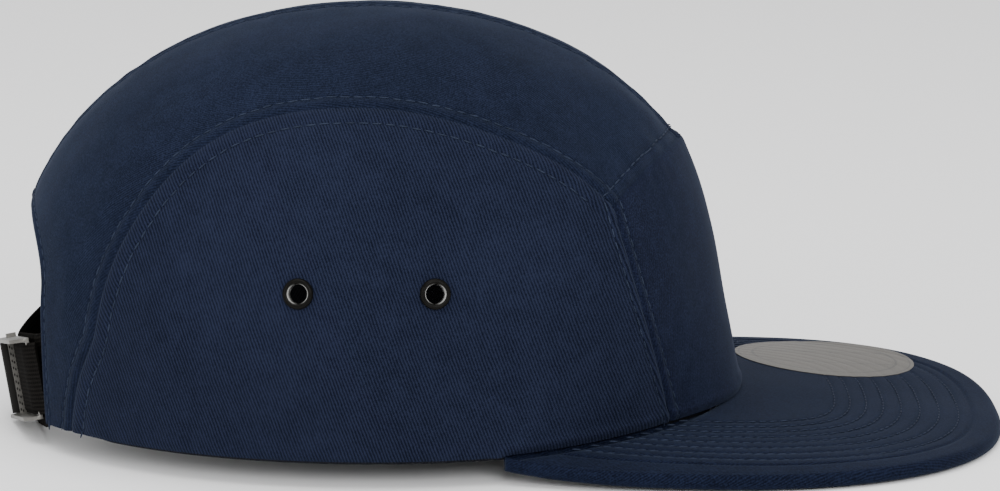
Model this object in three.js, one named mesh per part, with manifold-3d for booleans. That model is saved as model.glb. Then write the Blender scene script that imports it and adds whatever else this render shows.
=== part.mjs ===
// A five panel cap with a flat peak, a webbing strap and a cam lever clip.
// Millimetres, +Z up, +X towards the peak, +Y towards the wearer's left.
// The cap stands on the front edge of its peak and the lower edge of its strap.
import * as THREE from 'three';
import { mergeVertices } from 'three/addons/utils/BufferGeometryUtils.js';
import Module from 'manifold-3d';

const wasm = await Module();
wasm.setup();

// Driving dimensions of the crown
const CROWN_HALF_LENGTH = 100.5;
const CROWN_HALF_WIDTH = 80.5;
const CROWN_WIDER_FRONT = 0.04;
const WALL_HEIGHT = 30;
const DOME_HEIGHT = 82;
const DOME_POWER = 2.09;
const RIM_TUCK = 2.4;
const RIM_Z = 7.8;
const CLOTH = 1.6;
const SEAM_GAP = 0.3;
const FIT_GAP = 0.35;

// Driving dimensions of the seams
const FRONT_TOP_X = 88;
const FRONT_TOP_RISE = 74.5;
const FRONT_CORNER_RISE = 64.5;
const FRONT_SEAM_FOOT_X = 83.5;
const FRONT_FOOT_X = 105.4;
const TOP_HALF_WIDTH = 55;
const FRONT_SEAM_CURVE = 1.15;
const CROSS_SEAM_SWEEP = 1.55;
const CROSS_SEAM_FALL = 2.7;
const FRONT_FOOT_ROUNDNESS = 2.1;
const TOP_FLATTENS_FROM = 0.8;

// Driving dimensions of the rear opening
const OPENING_HALF_WIDTH = 33.3;
const OPENING_STRAIGHT = 37;
const OPENING_ARCH = 20;
const OPENING_ARCH_LENGTH = 1.6 * OPENING_ARCH;

// Driving dimensions of the peak
const PEAK_LENGTH = 73;
const PEAK_HALF_WIDTH = 82.5;
const PEAK_WIDEST_X = 92;
const PEAK_CORNER_X = 38;
const PEAK_CORNER_OVERHANG = 1.2;
const PEAK_THICKNESS = 4;
const PEAK_SEAT_Z = 10.3;
const PEAK_FALL = 6.9;
const PEAK_SIDE_DROP = 11;
const PEAK_ROUNDNESS = 2.5;
const PEAK_SIDE_CURVE = 2.2;
const PEAK_FRONT_SHARE = 0.68;
const PEAK_ROOT_SHARE = 0.42;

// Driving dimensions of the sweatband, strap and trim
const BAND_HEIGHT = 28;
const BAND_THICKNESS = 1.4;
const BAND_SHOWS = 1.2;
const BAND_EASE = 0.8;
const BAND_LEAN = 3;
const STRAP_EASE = 0.6;
const STRAP_WIDTH = 27;
const STRAP_THICKNESS = 1.5;
const STRAP_TUCK = 15;
const STRAP_LEAN = 11;
const STRAP_EDGE_LEAN = 7;
const STRAP_BULGE = 9.6;
const STRAP_DROP = 7.7;
const STRAP_PRESSED = 0.5;
const EYELET_OUTER = 8;
const EYELET_HOLE = 5.3;
const EYELET_FLANGE = 0.9;
const EYELET_BARREL = 0.5;
const EYELET_HEIGHT = 46.2;
const EYELET_REAR_X = -17;
const EYELET_FRONT_X = 19.4;
const STICKER_DIAMETER = 53;
const STICKER_THICKNESS = 0.4;
const STICKER_AHEAD = 27;
const STICKER_SIDE = 44.5;

// Driving dimensions of the clip, along the strap, up it and out from it
const CLIP_FROM_MIDDLE = 15;
const CLIP_LENGTH = 26;
const CLIP_HEIGHT = 23;
const CLIP_RISE = 1;
const CLIP_SHEET = 1;
const CLIP_BAR = 4;
const CLIP_EAR = 5;
const CLIP_EAR_REACH = 4.5;
const CLIP_SEAT = 0.9;
const TOOTHED_BAR_HEIGHT = 18;
const TOOTHED_BAR_DEPTH = 2;
const TOOTH_PITCH = 2;
const TOOTH_DEPTH = 0.5;
const LEVER_LENGTH = 12;
const LEVER_LEAN = 14;
const LEVER_SHEET = 1.8;
const PIN_RADIUS = 1;
const PIN_OUT = 2.6;
const PIN_CLEARANCE = 0.08;
const KNUCKLE_WALL = 0.9;

// Arched seam between side and top panels, from the rim to the front corner: how far out
// it runs, as a share of the top panels' half width
const ARC_WIDTH = [
  { along: 0, out: 0.79 },
  { along: 0.1, out: 0.86 },
  { along: 0.2, out: 0.96 },
  { along: 0.32, out: 0.995 },
  { along: 0.5, out: 0.955 },
  { along: 0.68, out: 0.985 },
  { along: 0.85, out: 1 },
  { along: 1, out: 0.94 },
];

// Front panel's middle line: share of its height and how far it stands behind its foot,
// as a share of the whole lean
const FRONT_LEAN = [
  { height: 0, back: 0 },
  { height: 0.16, back: 0.19 },
  { height: 0.48, back: 0.43 },
  { height: 0.66, back: 0.57 },
  { height: 0.86, back: 0.79 },
  { height: 1, back: 1 },
];

const colours = {
  twill: { color: 0x1d2940, roughness: 0.95, metalness: 0 },
  webbing: { color: 0x16150f, roughness: 0.8, metalness: 0 },
  lining: { color: 0x2a2a33, roughness: 0.95, metalness: 0 },
  steel: { color: 0x8f8c88, roughness: 0.45, metalness: 0.8 },
  black: { color: 0x101012, roughness: 0.3, metalness: 0.7 },
  sticker: { color: 0xb4afa8, roughness: 0.35, metalness: 0.6 },
};

// Panels that meet share the same steps along their seam
const SEAM_STEPS = 30;
const SIDE_ROWS = 9;
const ARC_SPLIT = SIDE_ROWS / SEAM_STEPS;
const WALL_PART = 6 / SEAM_STEPS;
const RIM_SHARE = 2 / SIDE_ROWS;

const V = (x, y, z) => new THREE.Vector3(x, y, z);
const DOME_Z = RIM_Z + WALL_HEIGHT;

// Value of a named column at a share of another named column, by a smooth curve
function readTable(rows, key, value, share) {
  const points = rows.map((row) => new THREE.Vector2(row[key], row[value]));
  let i = 0;
  while (i < points.length - 2 && points[i + 1].x < share) i += 1;
  const [a, b] = [points[i], points[i + 1]];
  const slope = (p, q) => (q.y - p.y) / (q.x - p.x);
  const middle = slope(a, b);
  const before = i > 0 ? (slope(points[i - 1], a) + middle) / 2 : middle;
  const after = i < points.length - 2 ? (slope(b, points[i + 2]) + middle) / 2 : middle;
  const w = b.x - a.x;
  const t = (share - a.x) / w;
  return (1 + 2 * t) * (1 - t) ** 2 * a.y + t * (1 - t) ** 2 * w * before
    + t * t * (3 - 2 * t) * b.y + t * t * (t - 1) * w * after;
}

// How far a point lies out from the middle of the crown, 1 on its surface
function crownShare(p) {
  const widen = 1 + CROWN_WIDER_FRONT * p.x / CROWN_HALF_LENGTH;
  const below = THREE.MathUtils.clamp((DOME_Z - p.z) / WALL_HEIGHT, 0, 1);
  const halfWidth = CROWN_HALF_WIDTH * widen - RIM_TUCK * below * below;
  const up = Math.max(p.z - DOME_Z, 0) / DOME_HEIGHT;
  const level = Math.hypot(p.x / CROWN_HALF_LENGTH, p.y / halfWidth);
  return (level ** DOME_POWER + up ** DOME_POWER) ** (1 / DOME_POWER);
}

// The nearest point of the crown's surface, along a ray from its middle
function onCrown(p) {
  const q = p.clone();
  for (let turn = 0; turn < 6; turn += 1) {
    const share = crownShare(q);
    q.x /= share;
    q.y /= share;
    if (q.z > DOME_Z) q.z = DOME_Z + (q.z - DOME_Z) / share;
  }
  return q;
}

// The crown's surface at a length and a height, on the side given by its sign
function crownAt(x, z, side) {
  let low = 0;
  let high = CROWN_HALF_WIDTH * 1.2;
  for (let turn = 0; turn < 40; turn += 1) {
    const y = (low + high) / 2;
    if (crownShare(V(x, y, z)) < 1) low = y;
    else high = y;
  }
  return V(x, side * low, z);
}

// Direction out of the crown, the same for both panels at a seam
function outward(p) {
  const up = Math.max(p.z - DOME_Z, 0);
  return V(p.x / CROWN_HALF_LENGTH ** 2, p.y / CROWN_HALF_WIDTH ** 2, up / DOME_HEIGHT ** 2).normalize();
}

// Top face of the peak, also carried back under the crown
const PEAK_TIP_X = FRONT_FOOT_X + PEAK_LENGTH;
function peakTop(x, y) {
  const middle = PEAK_SEAT_Z - PEAK_FALL * (x - FRONT_FOOT_X) / PEAK_LENGTH;
  const ahead = (x - PEAK_CORNER_X) / (PEAK_TIP_X - PEAK_CORNER_X);
  return middle - PEAK_SIDE_DROP * (1 - ahead) * (y / PEAK_HALF_WIDTH) ** 2;
}

// Lower edge of the crown: level at the sides and rear, on the peak in front
function rimHeight(x, y) {
  return x > PEAK_CORNER_X ? Math.max(peakTop(x, y) + SEAM_GAP, RIM_Z) : RIM_Z;
}

// The crown's surface at a width, along a ray from above its middle; angle 0 points ahead
function crownRay(y, angle) {
  let low = 0;
  let high = CROWN_HALF_LENGTH * 1.5;
  for (let turn = 0; turn < 40; turn += 1) {
    const r = (low + high) / 2;
    if (crownShare(V(r * Math.cos(angle), y, DOME_Z + r * Math.sin(angle))) < 1) low = r;
    else high = r;
  }
  return V(low * Math.cos(angle), y, DOME_Z + low * Math.sin(angle));
}

// Points along the arched seam, from the rim at the rear (0) to the front corner (1)
function arcSeam(t, side) {
  const y = side * TOP_HALF_WIDTH * readTable(ARC_WIDTH, 'along', 'out', t);
  if (t <= WALL_PART) return rearAt(y, RIM_Z + WALL_HEIGHT * t / WALL_PART);
  const corner = frontSeam(1, side);
  const last = Math.atan2(corner.z - DOME_Z, corner.x);
  const angle = Math.PI + (last - Math.PI) * (t - WALL_PART) / (1 - WALL_PART);
  const p = crownRay(y, angle);
  return t > 0.999 ? corner : p;
}

// Front seam from the peak (0) to the front corner (1)
function frontSeam(t, side) {
  const foot = crownAt(FRONT_SEAM_FOOT_X, RIM_Z, side);
  const low = rimHeight(foot.x, foot.y);
  const high = RIM_Z + FRONT_CORNER_RISE;
  const corner = cornerAt(side);
  const x = FRONT_SEAM_FOOT_X + (corner.x - FRONT_SEAM_FOOT_X) * t ** FRONT_SEAM_CURVE;
  return crownAt(x, low + (high - low) * t, side);
}

// Where front, side and top panels meet
function cornerAt(side) {
  const y = side * TOP_HALF_WIDTH * ARC_WIDTH[ARC_WIDTH.length - 1].out;
  return endAt(y, RIM_Z + FRONT_CORNER_RISE, 1);
}

// Cross seam from the middle of the cap (0) to the front corner (1)
function crossSeam(t, side) {
  const corner = frontSeam(1, side);
  const x = FRONT_TOP_X + (corner.x - FRONT_TOP_X) * t ** CROSS_SEAM_SWEEP;
  const top = RIM_Z + FRONT_TOP_RISE;
  return V(x, corner.y * t, top + (corner.z - top) * t ** CROSS_SEAM_FALL);
}

// Middle line of the cap over the top, from the rear opening (0) to the cross seam (1)
function centreSeam(t) {
  const rear = rearAt(0, RIM_Z + OPENING_STRAIGHT + OPENING_ARCH);
  const first = Math.PI - Math.atan2(rear.z - DOME_Z, -rear.x);
  const last = Math.atan2(RIM_Z + FRONT_TOP_RISE - DOME_Z, FRONT_TOP_X);
  const p = crownRay(0, first + (last - first) * t);
  return t > 0.999 ? V(FRONT_TOP_X, 0, RIM_Z + FRONT_TOP_RISE) : p;
}

// Rear edge of a top panel: along the rim, then up the side of the opening to its arch
function openingEdge(t, side) {
  if (t < RIM_SHARE) {
    const foot = arcSeam(0, side);
    return rearAt(foot.y + (side * OPENING_HALF_WIDTH - foot.y) * t / RIM_SHARE, RIM_Z);
  }
  const up = (t - RIM_SHARE) / (1 - RIM_SHARE) * (OPENING_STRAIGHT + OPENING_ARCH_LENGTH);
  const turn = Math.max(0, up - OPENING_STRAIGHT) / OPENING_ARCH_LENGTH * Math.PI / 2;
  const z = RIM_Z + Math.min(up, OPENING_STRAIGHT) + OPENING_ARCH * Math.sin(turn);
  return rearAt(side * OPENING_HALF_WIDTH * Math.cos(turn), z);
}

// The crown's surface at a width and a height, at its rear (-1) or its front (1)
function endAt(y, z, end) {
  let low = 0;
  let high = CROWN_HALF_LENGTH * 1.2;
  for (let turn = 0; turn < 40; turn += 1) {
    const x = (low + high) / 2;
    if (crownShare(V(end * x, y, z)) < 1) low = x;
    else high = x;
  }
  return V(end * low, y, z);
}

const rearAt = (y, z) => endAt(y, z, -1);

// A surface stretched between four edges; bottom and top run along u, left and right along v
function stretched(bottom, top, left, right) {
  return (u, v) => {
    const p = V(0, 0, 0);
    p.addScaledVector(bottom(u), 1 - v).addScaledVector(top(u), v);
    p.addScaledVector(left(v), 1 - u).addScaledVector(right(v), u);
    p.addScaledVector(bottom(0), -(1 - u) * (1 - v)).addScaledVector(bottom(1), -u * (1 - v));
    p.addScaledVector(top(0), -(1 - u) * v).addScaledVector(top(1), -u * v);
    return p;
  };
}

// A closed body from two grids of points, the outer and the inner face of a wall
function wallSolid(columns, rows, outerAt, innerAt) {
  const points = [];
  const faces = [];
  const index = (layer, i, j) => (layer * (columns + 1) + i) * (rows + 1) + j;
  for (const at of [outerAt, innerAt]) {
    for (let i = 0; i <= columns; i += 1) {
      for (let j = 0; j <= rows; j += 1) points.push(...at(i / columns, j / rows).toArray());
    }
  }
  const quad = (a, b, c, d) => faces.push(a, b, c, a, c, d);
  for (let i = 0; i < columns; i += 1) {
    for (let j = 0; j < rows; j += 1) {
      quad(index(0, i, j), index(0, i + 1, j), index(0, i + 1, j + 1), index(0, i, j + 1));
      quad(index(1, i, j), index(1, i, j + 1), index(1, i + 1, j + 1), index(1, i + 1, j));
    }
    quad(index(1, i, 0), index(1, i + 1, 0), index(0, i + 1, 0), index(0, i, 0));
    quad(index(0, i, rows), index(0, i + 1, rows), index(1, i + 1, rows), index(1, i, rows));
  }
  for (let j = 0; j < rows; j += 1) {
    quad(index(1, 0, j + 1), index(1, 0, j), index(0, 0, j), index(0, 0, j + 1));
    quad(index(0, columns, j + 1), index(0, columns, j), index(1, columns, j), index(1, columns, j + 1));
  }
  return solidOf(points, faces);
}

// A geometry whose faces point out, whichever way round its grid was
function solidOf(points, faces) {
  const geometry = new THREE.BufferGeometry();
  geometry.setAttribute('position', new THREE.Float32BufferAttribute(points, 3));
  let volume = 0;
  for (let f = 0; f < faces.length; f += 3) {
    const [a, b, c] = [0, 1, 2].map((k) => V(...points.slice(faces[f + k] * 3, faces[f + k] * 3 + 3)));
    volume += a.dot(b.cross(c));
  }
  if (volume < 0) {
    for (let f = 0; f < faces.length; f += 3) {
      [faces[f + 1], faces[f + 2]] = [faces[f + 2], faces[f + 1]];
    }
  }
  geometry.setIndex(faces);
  return geometry;
}

function toManifold(geometry) {
  const bare = geometry.clone();
  bare.deleteAttribute('normal');
  bare.deleteAttribute('uv');
  const merged = mergeVertices(bare, 1e-4);
  return new wasm.Manifold(new wasm.Mesh({
    numProp: 3,
    vertProperties: new Float32Array(merged.attributes.position.array),
    triVerts: new Uint32Array(merged.index.array),
  }));
}

function fromManifold(solid) {
  const mesh = solid.getMesh();
  const geometry = new THREE.BufferGeometry();
  geometry.setAttribute('position', new THREE.Float32BufferAttribute(mesh.vertProperties, 3));
  geometry.setIndex([...mesh.triVerts]);
  return geometry;
}

const cut = (geometry, ...tools) => fromManifold(
  tools.reduce((solid, tool) => solid.subtract(toManifold(tool)), toManifold(geometry)));
const join = (...pieces) => fromManifold(
  pieces.map(toManifold).reduce((solid, piece) => solid.add(piece)));

const cap = new THREE.Group();
function addPart(name, geometry, finish, parent = cap) {
  const mesh = new THREE.Mesh(geometry, new THREE.MeshStandardMaterial(colours[finish]));
  mesh.name = name;
  parent.add(mesh);
  return mesh;
}

// Cloth wall over a surface, drawn in at its edges by half a seam gap
function clothPanel(columns, rows, surface) {
  const middle = surface(0.5, 0.5);
  const width = middle.distanceTo(surface(0, 0.5)) + middle.distanceTo(surface(1, 0.5));
  const height = middle.distanceTo(surface(0.5, 0)) + middle.distanceTo(surface(0.5, 1));
  const inset = (t, size) => {
    const edge = SEAM_GAP / 2 / size;
    return edge + (1 - 2 * edge) * t;
  };
  const outer = (u, v) => surface(inset(u, width), inset(v, height));
  const inner = (u, v) => {
    const p = outer(u, v);
    return p.addScaledVector(outward(p), -CLOTH);
  };
  return wallSolid(columns, rows, outer, inner);
}

// Side panel: rim below, arched seam behind and above, front seam ahead
function sideSurface(side) {
  const rearFoot = arcSeam(0, side);
  const bottom = (u) => {
    const x = rearFoot.x + (FRONT_SEAM_FOOT_X - rearFoot.x) * (0.5 - 0.5 * Math.cos(Math.PI * u));
    const p = crownAt(x, RIM_Z, side);
    return crownAt(x, rimHeight(x, p.y), side);
  };
  const top = (u) => arcSeam(ARC_SPLIT + (1 - ARC_SPLIT) * u, side);
  const left = (v) => arcSeam(ARC_SPLIT * v, side);
  const right = (v) => frontSeam(v, side);
  const flat = stretched(bottom, top, left, right);
  return (u, v) => onCrown(flat(u, v));
}

// Top panel: centre seam to arched seam across, rear opening to cross seam along
function topSurface(side) {
  const bottom = (u) => centreSeam(u);
  const top = (u) => arcSeam(u, side);
  const left = (v) => openingEdge(1 - v, side);
  const right = (v) => crossSeam(v, side);
  const flat = stretched(bottom, top, left, right);
  return (u, v) => {
    const p = flat(u, v);
    const q = onCrown(p);
    const nearFront = THREE.MathUtils.smoothstep(u, TOP_FLATTENS_FROM, 1);
    return q.lerp(p, nearFront);
  };
}

// Front panel: peak below, cross seam above, leaning and slightly bowed
function frontSurface() {
  const seamFoot = frontSeam(0, 1);
  const bottom = (u) => {
    const y = (2 * u - 1) * seamFoot.y;
    const x = FRONT_FOOT_X - (FRONT_FOOT_X - seamFoot.x) * Math.abs(2 * u - 1) ** FRONT_FOOT_ROUNDNESS;
    return V(x, y, rimHeight(x, y));
  };
  const top = (u) => crossSeam(Math.abs(2 * u - 1), Math.sign(2 * u - 1) || 1);
  const left = (v) => frontSeam(v, -1);
  const right = (v) => frontSeam(v, 1);
  const flat = stretched(bottom, top, left, right);
  return (u, v) => {
    const p = flat(u, v);
    const across = 1 - (2 * u - 1) ** 2;
    const lean = readTable(FRONT_LEAN, 'height', 'back', v) - v;
    p.x -= (FRONT_FOOT_X - FRONT_TOP_X) * lean * across;
    return p;
  };
}

// The place of an eyelet on a side panel: a group whose Z points out of the crown
function eyeletPlace(x, side) {
  const p = crownAt(x, RIM_Z + EYELET_HEIGHT, side);
  const place = new THREE.Group();
  place.position.copy(p);
  place.quaternion.setFromUnitVectors(V(0, 0, 1), outward(p));
  place.updateMatrixWorld(true);
  return place;
}

// A rolled ring outside, a barrel through the cloth and a flat ring inside
function eyeletGeometry() {
  const outer = EYELET_OUTER / 2;
  const hole = EYELET_HOLE / 2;
  const barrel = hole + EYELET_BARREL;
  const face = FIT_GAP;
  const back = -CLOTH - 2 * FIT_GAP;
  const profile = [
    [hole, back - 0.4], [outer - 0.4, back - 0.4], [outer - 0.4, back], [barrel, back],
    [barrel, face], [outer, face], [outer - 0.12, face + EYELET_FLANGE * 0.6],
    [(outer + hole) / 2 + 0.2, face + EYELET_FLANGE], [hole + 0.35, face + EYELET_FLANGE * 0.75],
    [hole, face + EYELET_FLANGE * 0.2], [hole, back - 0.4],
  ].map(([r, z]) => new THREE.Vector2(r, z));
  const ring = new THREE.LatheGeometry(profile, 18);
  ring.rotateX(Math.PI / 2);
  return outwardRound(ring);
}

// Turns a geometry's faces out if they point in
function outwardRound(geometry) {
  const merged = mergedPositions(geometry);
  return solidOf([...merged.attributes.position.array], [...merged.index.array]);
}

function mergedPositions(geometry) {
  const bare = geometry.clone();
  bare.deleteAttribute('normal');
  bare.deleteAttribute('uv');
  return mergeVertices(bare, 1e-4);
}

const EYELET_PLACES = [['rear', EYELET_REAR_X], ['front', EYELET_FRONT_X]];

function addPanels() {
  for (const [side, name] of [[-1, 'right'], [1, 'left']]) {
    const blank = clothPanel(SEAM_STEPS - SIDE_ROWS, SIDE_ROWS, sideSurface(side));
    const holes = EYELET_PLACES.map(([, x]) => {
      const drill = new THREE.CylinderGeometry(EYELET_HOLE / 2 + EYELET_BARREL + FIT_GAP,
        EYELET_HOLE / 2 + EYELET_BARREL + FIT_GAP, 16, 20);
      drill.rotateX(Math.PI / 2);
      return drill.applyMatrix4(eyeletPlace(x, side).matrixWorld);
    });
    addPart(`side_panel_${name}`, cut(blank, ...holes), 'twill');
    addPart(`top_panel_${name}`, clothPanel(SEAM_STEPS, SIDE_ROWS, topSurface(side)), 'twill');
  }
  addPart('front_panel', clothPanel(2 * SIDE_ROWS, SIDE_ROWS, frontSurface()), 'twill');
}

function addEyelets() {
  for (const [side, name] of [[-1, 'right'], [1, 'left']]) {
    for (const [end, x] of EYELET_PLACES) {
      const place = eyeletPlace(x, side);
      addPart(`eyelet_${name}_${end}`, eyeletGeometry(), 'black', place);
      cap.add(place);
    }
  }
}

// Outer outline of the peak, from the right corner (0) over the tip (0.5) to the left one (1)
function peakOutline(t) {
  const side = t < 0.5 ? -1 : 1;
  const away = Math.abs(2 * t - 1);
  const split = PEAK_FRONT_SHARE;
  if (away <= split) {
    const angle = away / split * Math.PI / 2;
    const x = PEAK_WIDEST_X + (PEAK_TIP_X - PEAK_WIDEST_X) * Math.cos(angle) ** (2 / PEAK_ROUNDNESS);
    return [x, side * PEAK_HALF_WIDTH * Math.sin(angle) ** (2 / PEAK_ROUNDNESS)];
  }
  const s = (away - split) / (1 - split);
  const corner = crownAt(PEAK_CORNER_X, RIM_Z, 1).y + PEAK_CORNER_OVERHANG;
  const x = PEAK_WIDEST_X + (PEAK_CORNER_X - PEAK_WIDEST_X) * s;
  return [x, side * (PEAK_HALF_WIDTH + (corner - PEAK_HALF_WIDTH) * s ** PEAK_SIDE_CURVE)];
}

// Rear edge of the peak, inside the foot of the crown
function peakRoot(t) {
  const seamFoot = frontSeam(0, 1);
  const side = t < 0.5 ? -1 : 1;
  const away = Math.abs(2 * t - 1);
  const split = PEAK_ROOT_SHARE;
  let p;
  if (away <= split) {
    const y = away / split * seamFoot.y;
    p = V(FRONT_FOOT_X - (FRONT_FOOT_X - seamFoot.x) * (away / split) ** FRONT_FOOT_ROUNDNESS, side * y, RIM_Z);
  } else {
    const x = seamFoot.x + (PEAK_CORNER_X - seamFoot.x) * (away - split) / (1 - split);
    p = crownAt(x, RIM_Z, side);
  }
  return p.addScaledVector(outward(V(p.x, p.y, 0)), -CLOTH);
}

// Peak: a board with cloth over it, round at its outer edge and flat where it rests
function peakGeometry() {
  const lengths = 50;
  const across = 9;
  const round = 4;
  const radius = PEAK_THICKNESS / 2;
  const ring = (t) => {
    const root = peakRoot(t);
    const [ox, oy] = peakOutline(t);
    const reach = Math.hypot(ox - root.x, oy - root.y);
    const end = Math.max(reach - radius, reach * 0.4);
    const [dx, dy] = [(ox - root.x) / reach, (oy - root.y) / reach];
    const at = (run, lift) => {
      const [x, y] = [root.x + dx * run, root.y + dy * run];
      return V(x, y, Math.max(peakTop(x, y) - radius + lift, 0));
    };
    const points = [];
    for (let k = 0; k <= across; k += 1) points.push(at(end * k / across, radius));
    for (let k = 1; k < round; k += 1) {
      const angle = Math.PI / 2 - Math.PI * k / round;
      points.push(at(end + (reach - end) * Math.cos(angle), radius * Math.sin(angle)));
    }
    for (let k = across; k >= 0; k -= 1) points.push(at(end * k / across, -radius));
    return points;
  };
  return sweptRings(Array.from({ length: lengths + 1 }, (_, i) => ring(i / lengths)));
}

// A closed body through rings of points, its ends closed by strips across
function sweptRings(rings) {
  const size = rings[0].length;
  const points = rings.flat().flatMap((p) => p.toArray());
  const faces = [];
  for (let i = 0; i < rings.length - 1; i += 1) {
    for (let k = 0; k < size; k += 1) {
      const [a, b] = [i * size + k, i * size + (k + 1) % size];
      faces.push(a, b, b + size, a, b + size, a + size);
    }
  }
  const last = (rings.length - 1) * size;
  for (let k = 0; k < size / 2 - 1; k += 1) {
    const [a, b, c, d] = [k, k + 1, size - 2 - k, size - 1 - k];
    if (b !== c) faces.push(a, c, b);
    faces.push(a, d, c);
    if (b !== c) faces.push(last + a, last + b, last + c);
    faces.push(last + a, last + c, last + d);
  }
  return solidOf(points, faces);
}

// A place inside the crown's wall at a direction in plan and a height
function insideWall(angle, z, inset) {
  const p = onCrown(V(CROWN_HALF_LENGTH * Math.cos(angle), CROWN_HALF_WIDTH * Math.sin(angle), z));
  return p.addScaledVector(outward(V(p.x, p.y, 0)), -inset).setZ(z);
}

// Direction in plan, from the middle of the crown, of a width at its rear
const rearAngle = (y) => Math.PI - Math.asin(y / CROWN_HALF_WIDTH);

// Sweatband: a strip inside the rim from one side of the rear opening round to the other,
// which steps inward behind the sewn ends of the strap
function bandGeometry() {
  const start = rearAngle(OPENING_HALF_WIDTH + SEAM_GAP);
  const strapEnd = rearAngle(OPENING_HALF_WIDTH + STRAP_TUCK);
  const strip = (depth) => (u, v) => {
    const angle = start * (1 - 2 * u);
    const behind = 1 - THREE.MathUtils.smoothstep(strapEnd - Math.abs(angle), -0.02, 0.12);
    const ahead = Math.max(Math.cos(angle), 0) ** 4;
    const inset = CLOTH + BAND_EASE + (STRAP_THICKNESS + FIT_GAP) * behind + BAND_LEAN * ahead * v + depth;
    return insideWall(angle, RIM_Z - BAND_SHOWS + BAND_HEIGHT * v, inset);
  };
  return wallSolid(72, 2, strip(0), strip(BAND_THICKNESS));
}

// Lower or upper edge of the strap's outer face at a width; level where the clip holds it
function strapEdge(y, share) {
  const width = Math.abs(y);
  if (width > OPENING_HALF_WIDTH) {
    const edge = strapFree(OPENING_HALF_WIDTH, share);
    const p = insideWall(rearAngle(width), edge.z, CLOTH + STRAP_EASE);
    return V(p.x, Math.sign(y) * p.y, edge.z);
  }
  const [from, to] = [-CLIP_FROM_MIDDLE - CLIP_LENGTH / 2, -CLIP_FROM_MIDDLE + CLIP_LENGTH / 2];
  if (y > from && y < to) {
    return strapFree(from, share).lerp(strapFree(to, share), (y - from) / (to - from));
  }
  return strapFree(y, share);
}

function strapFree(y, share) {
  const s = Math.min((y / OPENING_HALF_WIDTH) ** 2, 1);
  const edge = insideWall(rearAngle(OPENING_HALF_WIDTH), RIM_Z + STRAP_WIDTH / 2, CLOTH + STRAP_EASE);
  const lean = THREE.MathUtils.degToRad(STRAP_LEAN + (STRAP_EDGE_LEAN - STRAP_LEAN) * s);
  const up = STRAP_WIDTH * share;
  const x = edge.x - STRAP_BULGE * (1 - s) - (up - STRAP_WIDTH / 2) * Math.sin(lean) * (1 - s * s);
  return V(x, y, STRAP_DROP * s - STRAP_PRESSED + up * Math.cos(lean));
}

// A length of the strap between two widths, positive towards the wearer's left
function strapGeometry(from, to, steps) {
  const face = (depth) => (u, v) => {
    const y = from + (to - from) * u;
    const p = strapEdge(y, v);
    const ahead = strapEdge(y + 0.5, v).sub(strapEdge(y - 0.5, v));
    const across = strapEdge(y, 1).sub(strapEdge(y, 0));
    const out = ahead.cross(across).normalize();
    p.addScaledVector(out, depth);
    return p.setZ(Math.max(p.z, 0));
  };
  return wallSolid(steps, 2, face(0), face(STRAP_THICKNESS));
}

// The clip's own place on the strap: X towards the wearer's right, Y up, Z outward
function clipPlace() {
  const [from, to] = [-CLIP_FROM_MIDDLE - CLIP_LENGTH / 2, -CLIP_FROM_MIDDLE + CLIP_LENGTH / 2];
  const right = strapEdge(from, 0.5).sub(strapEdge(to, 0.5)).normalize();
  const rise = strapEdge(-CLIP_FROM_MIDDLE, 1).sub(strapEdge(-CLIP_FROM_MIDDLE, 0)).normalize();
  const out = right.clone().cross(rise).normalize();
  const up = out.clone().cross(right);
  const place = new THREE.Group();
  place.position.copy(strapEdge(-CLIP_FROM_MIDDLE, 0.5 + CLIP_RISE / STRAP_WIDTH));
  place.quaternion.setFromRotationMatrix(new THREE.Matrix4().makeBasis(right, up, out));
  return place;
}

function boxBetween(low, high) {
  const size = high.map((value, i) => value - low[i]);
  const box = new THREE.BoxGeometry(...size);
  return box.translate(...low.map((value, i) => value + size[i] / 2));
}

const PIN_AT = -CLIP_LENGTH / 2 - PIN_RADIUS - KNUCKLE_WALL - FIT_GAP * 2;
const PIN_Z = CLIP_SEAT + PIN_OUT;

// A round rod along the clip's Y
function rodUp(radius, length, sides = 20) {
  return new THREE.CylinderGeometry(radius, radius, length, sides).translate(PIN_AT, 0, PIN_Z);
}

// Frame of the clip: a windowed plate, an ear along its top and bottom, a toothed bar
function clipFrameGeometry() {
  const [half, tall, sheet] = [CLIP_LENGTH / 2, CLIP_HEIGHT / 2, CLIP_SHEET];
  const plate = boxBetween([-half, -tall, CLIP_SEAT], [half, tall, CLIP_SEAT + sheet]);
  const window = boxBetween([-half + CLIP_BAR, -tall + CLIP_BAR, 0], [half - CLIP_BAR, tall - CLIP_BAR, 9]);
  const ears = [-tall, tall - sheet].map((y) => {
    const outline = new THREE.Shape();
    outline.moveTo(half, CLIP_SEAT);
    outline.lineTo(half, CLIP_SEAT + sheet * 1.5);
    outline.lineTo(half - CLIP_EAR * 0.8, CLIP_SEAT + CLIP_EAR);
    outline.lineTo(-half - CLIP_EAR_REACH, CLIP_SEAT + CLIP_EAR);
    outline.lineTo(-half - CLIP_EAR_REACH, CLIP_SEAT + sheet);
    outline.lineTo(-half, CLIP_SEAT);
    const ear = new THREE.ExtrudeGeometry(outline, { depth: sheet, bevelEnabled: false });
    return ear.rotateX(Math.PI / 2).translate(0, y + sheet, 0);
  });
  const solid = join(cut(plate, window), toothedBar(), ...ears.map(outwardRound));
  return cut(solid, rodUp(PIN_RADIUS + PIN_CLEARANCE, 2 * CLIP_HEIGHT));
}

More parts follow.
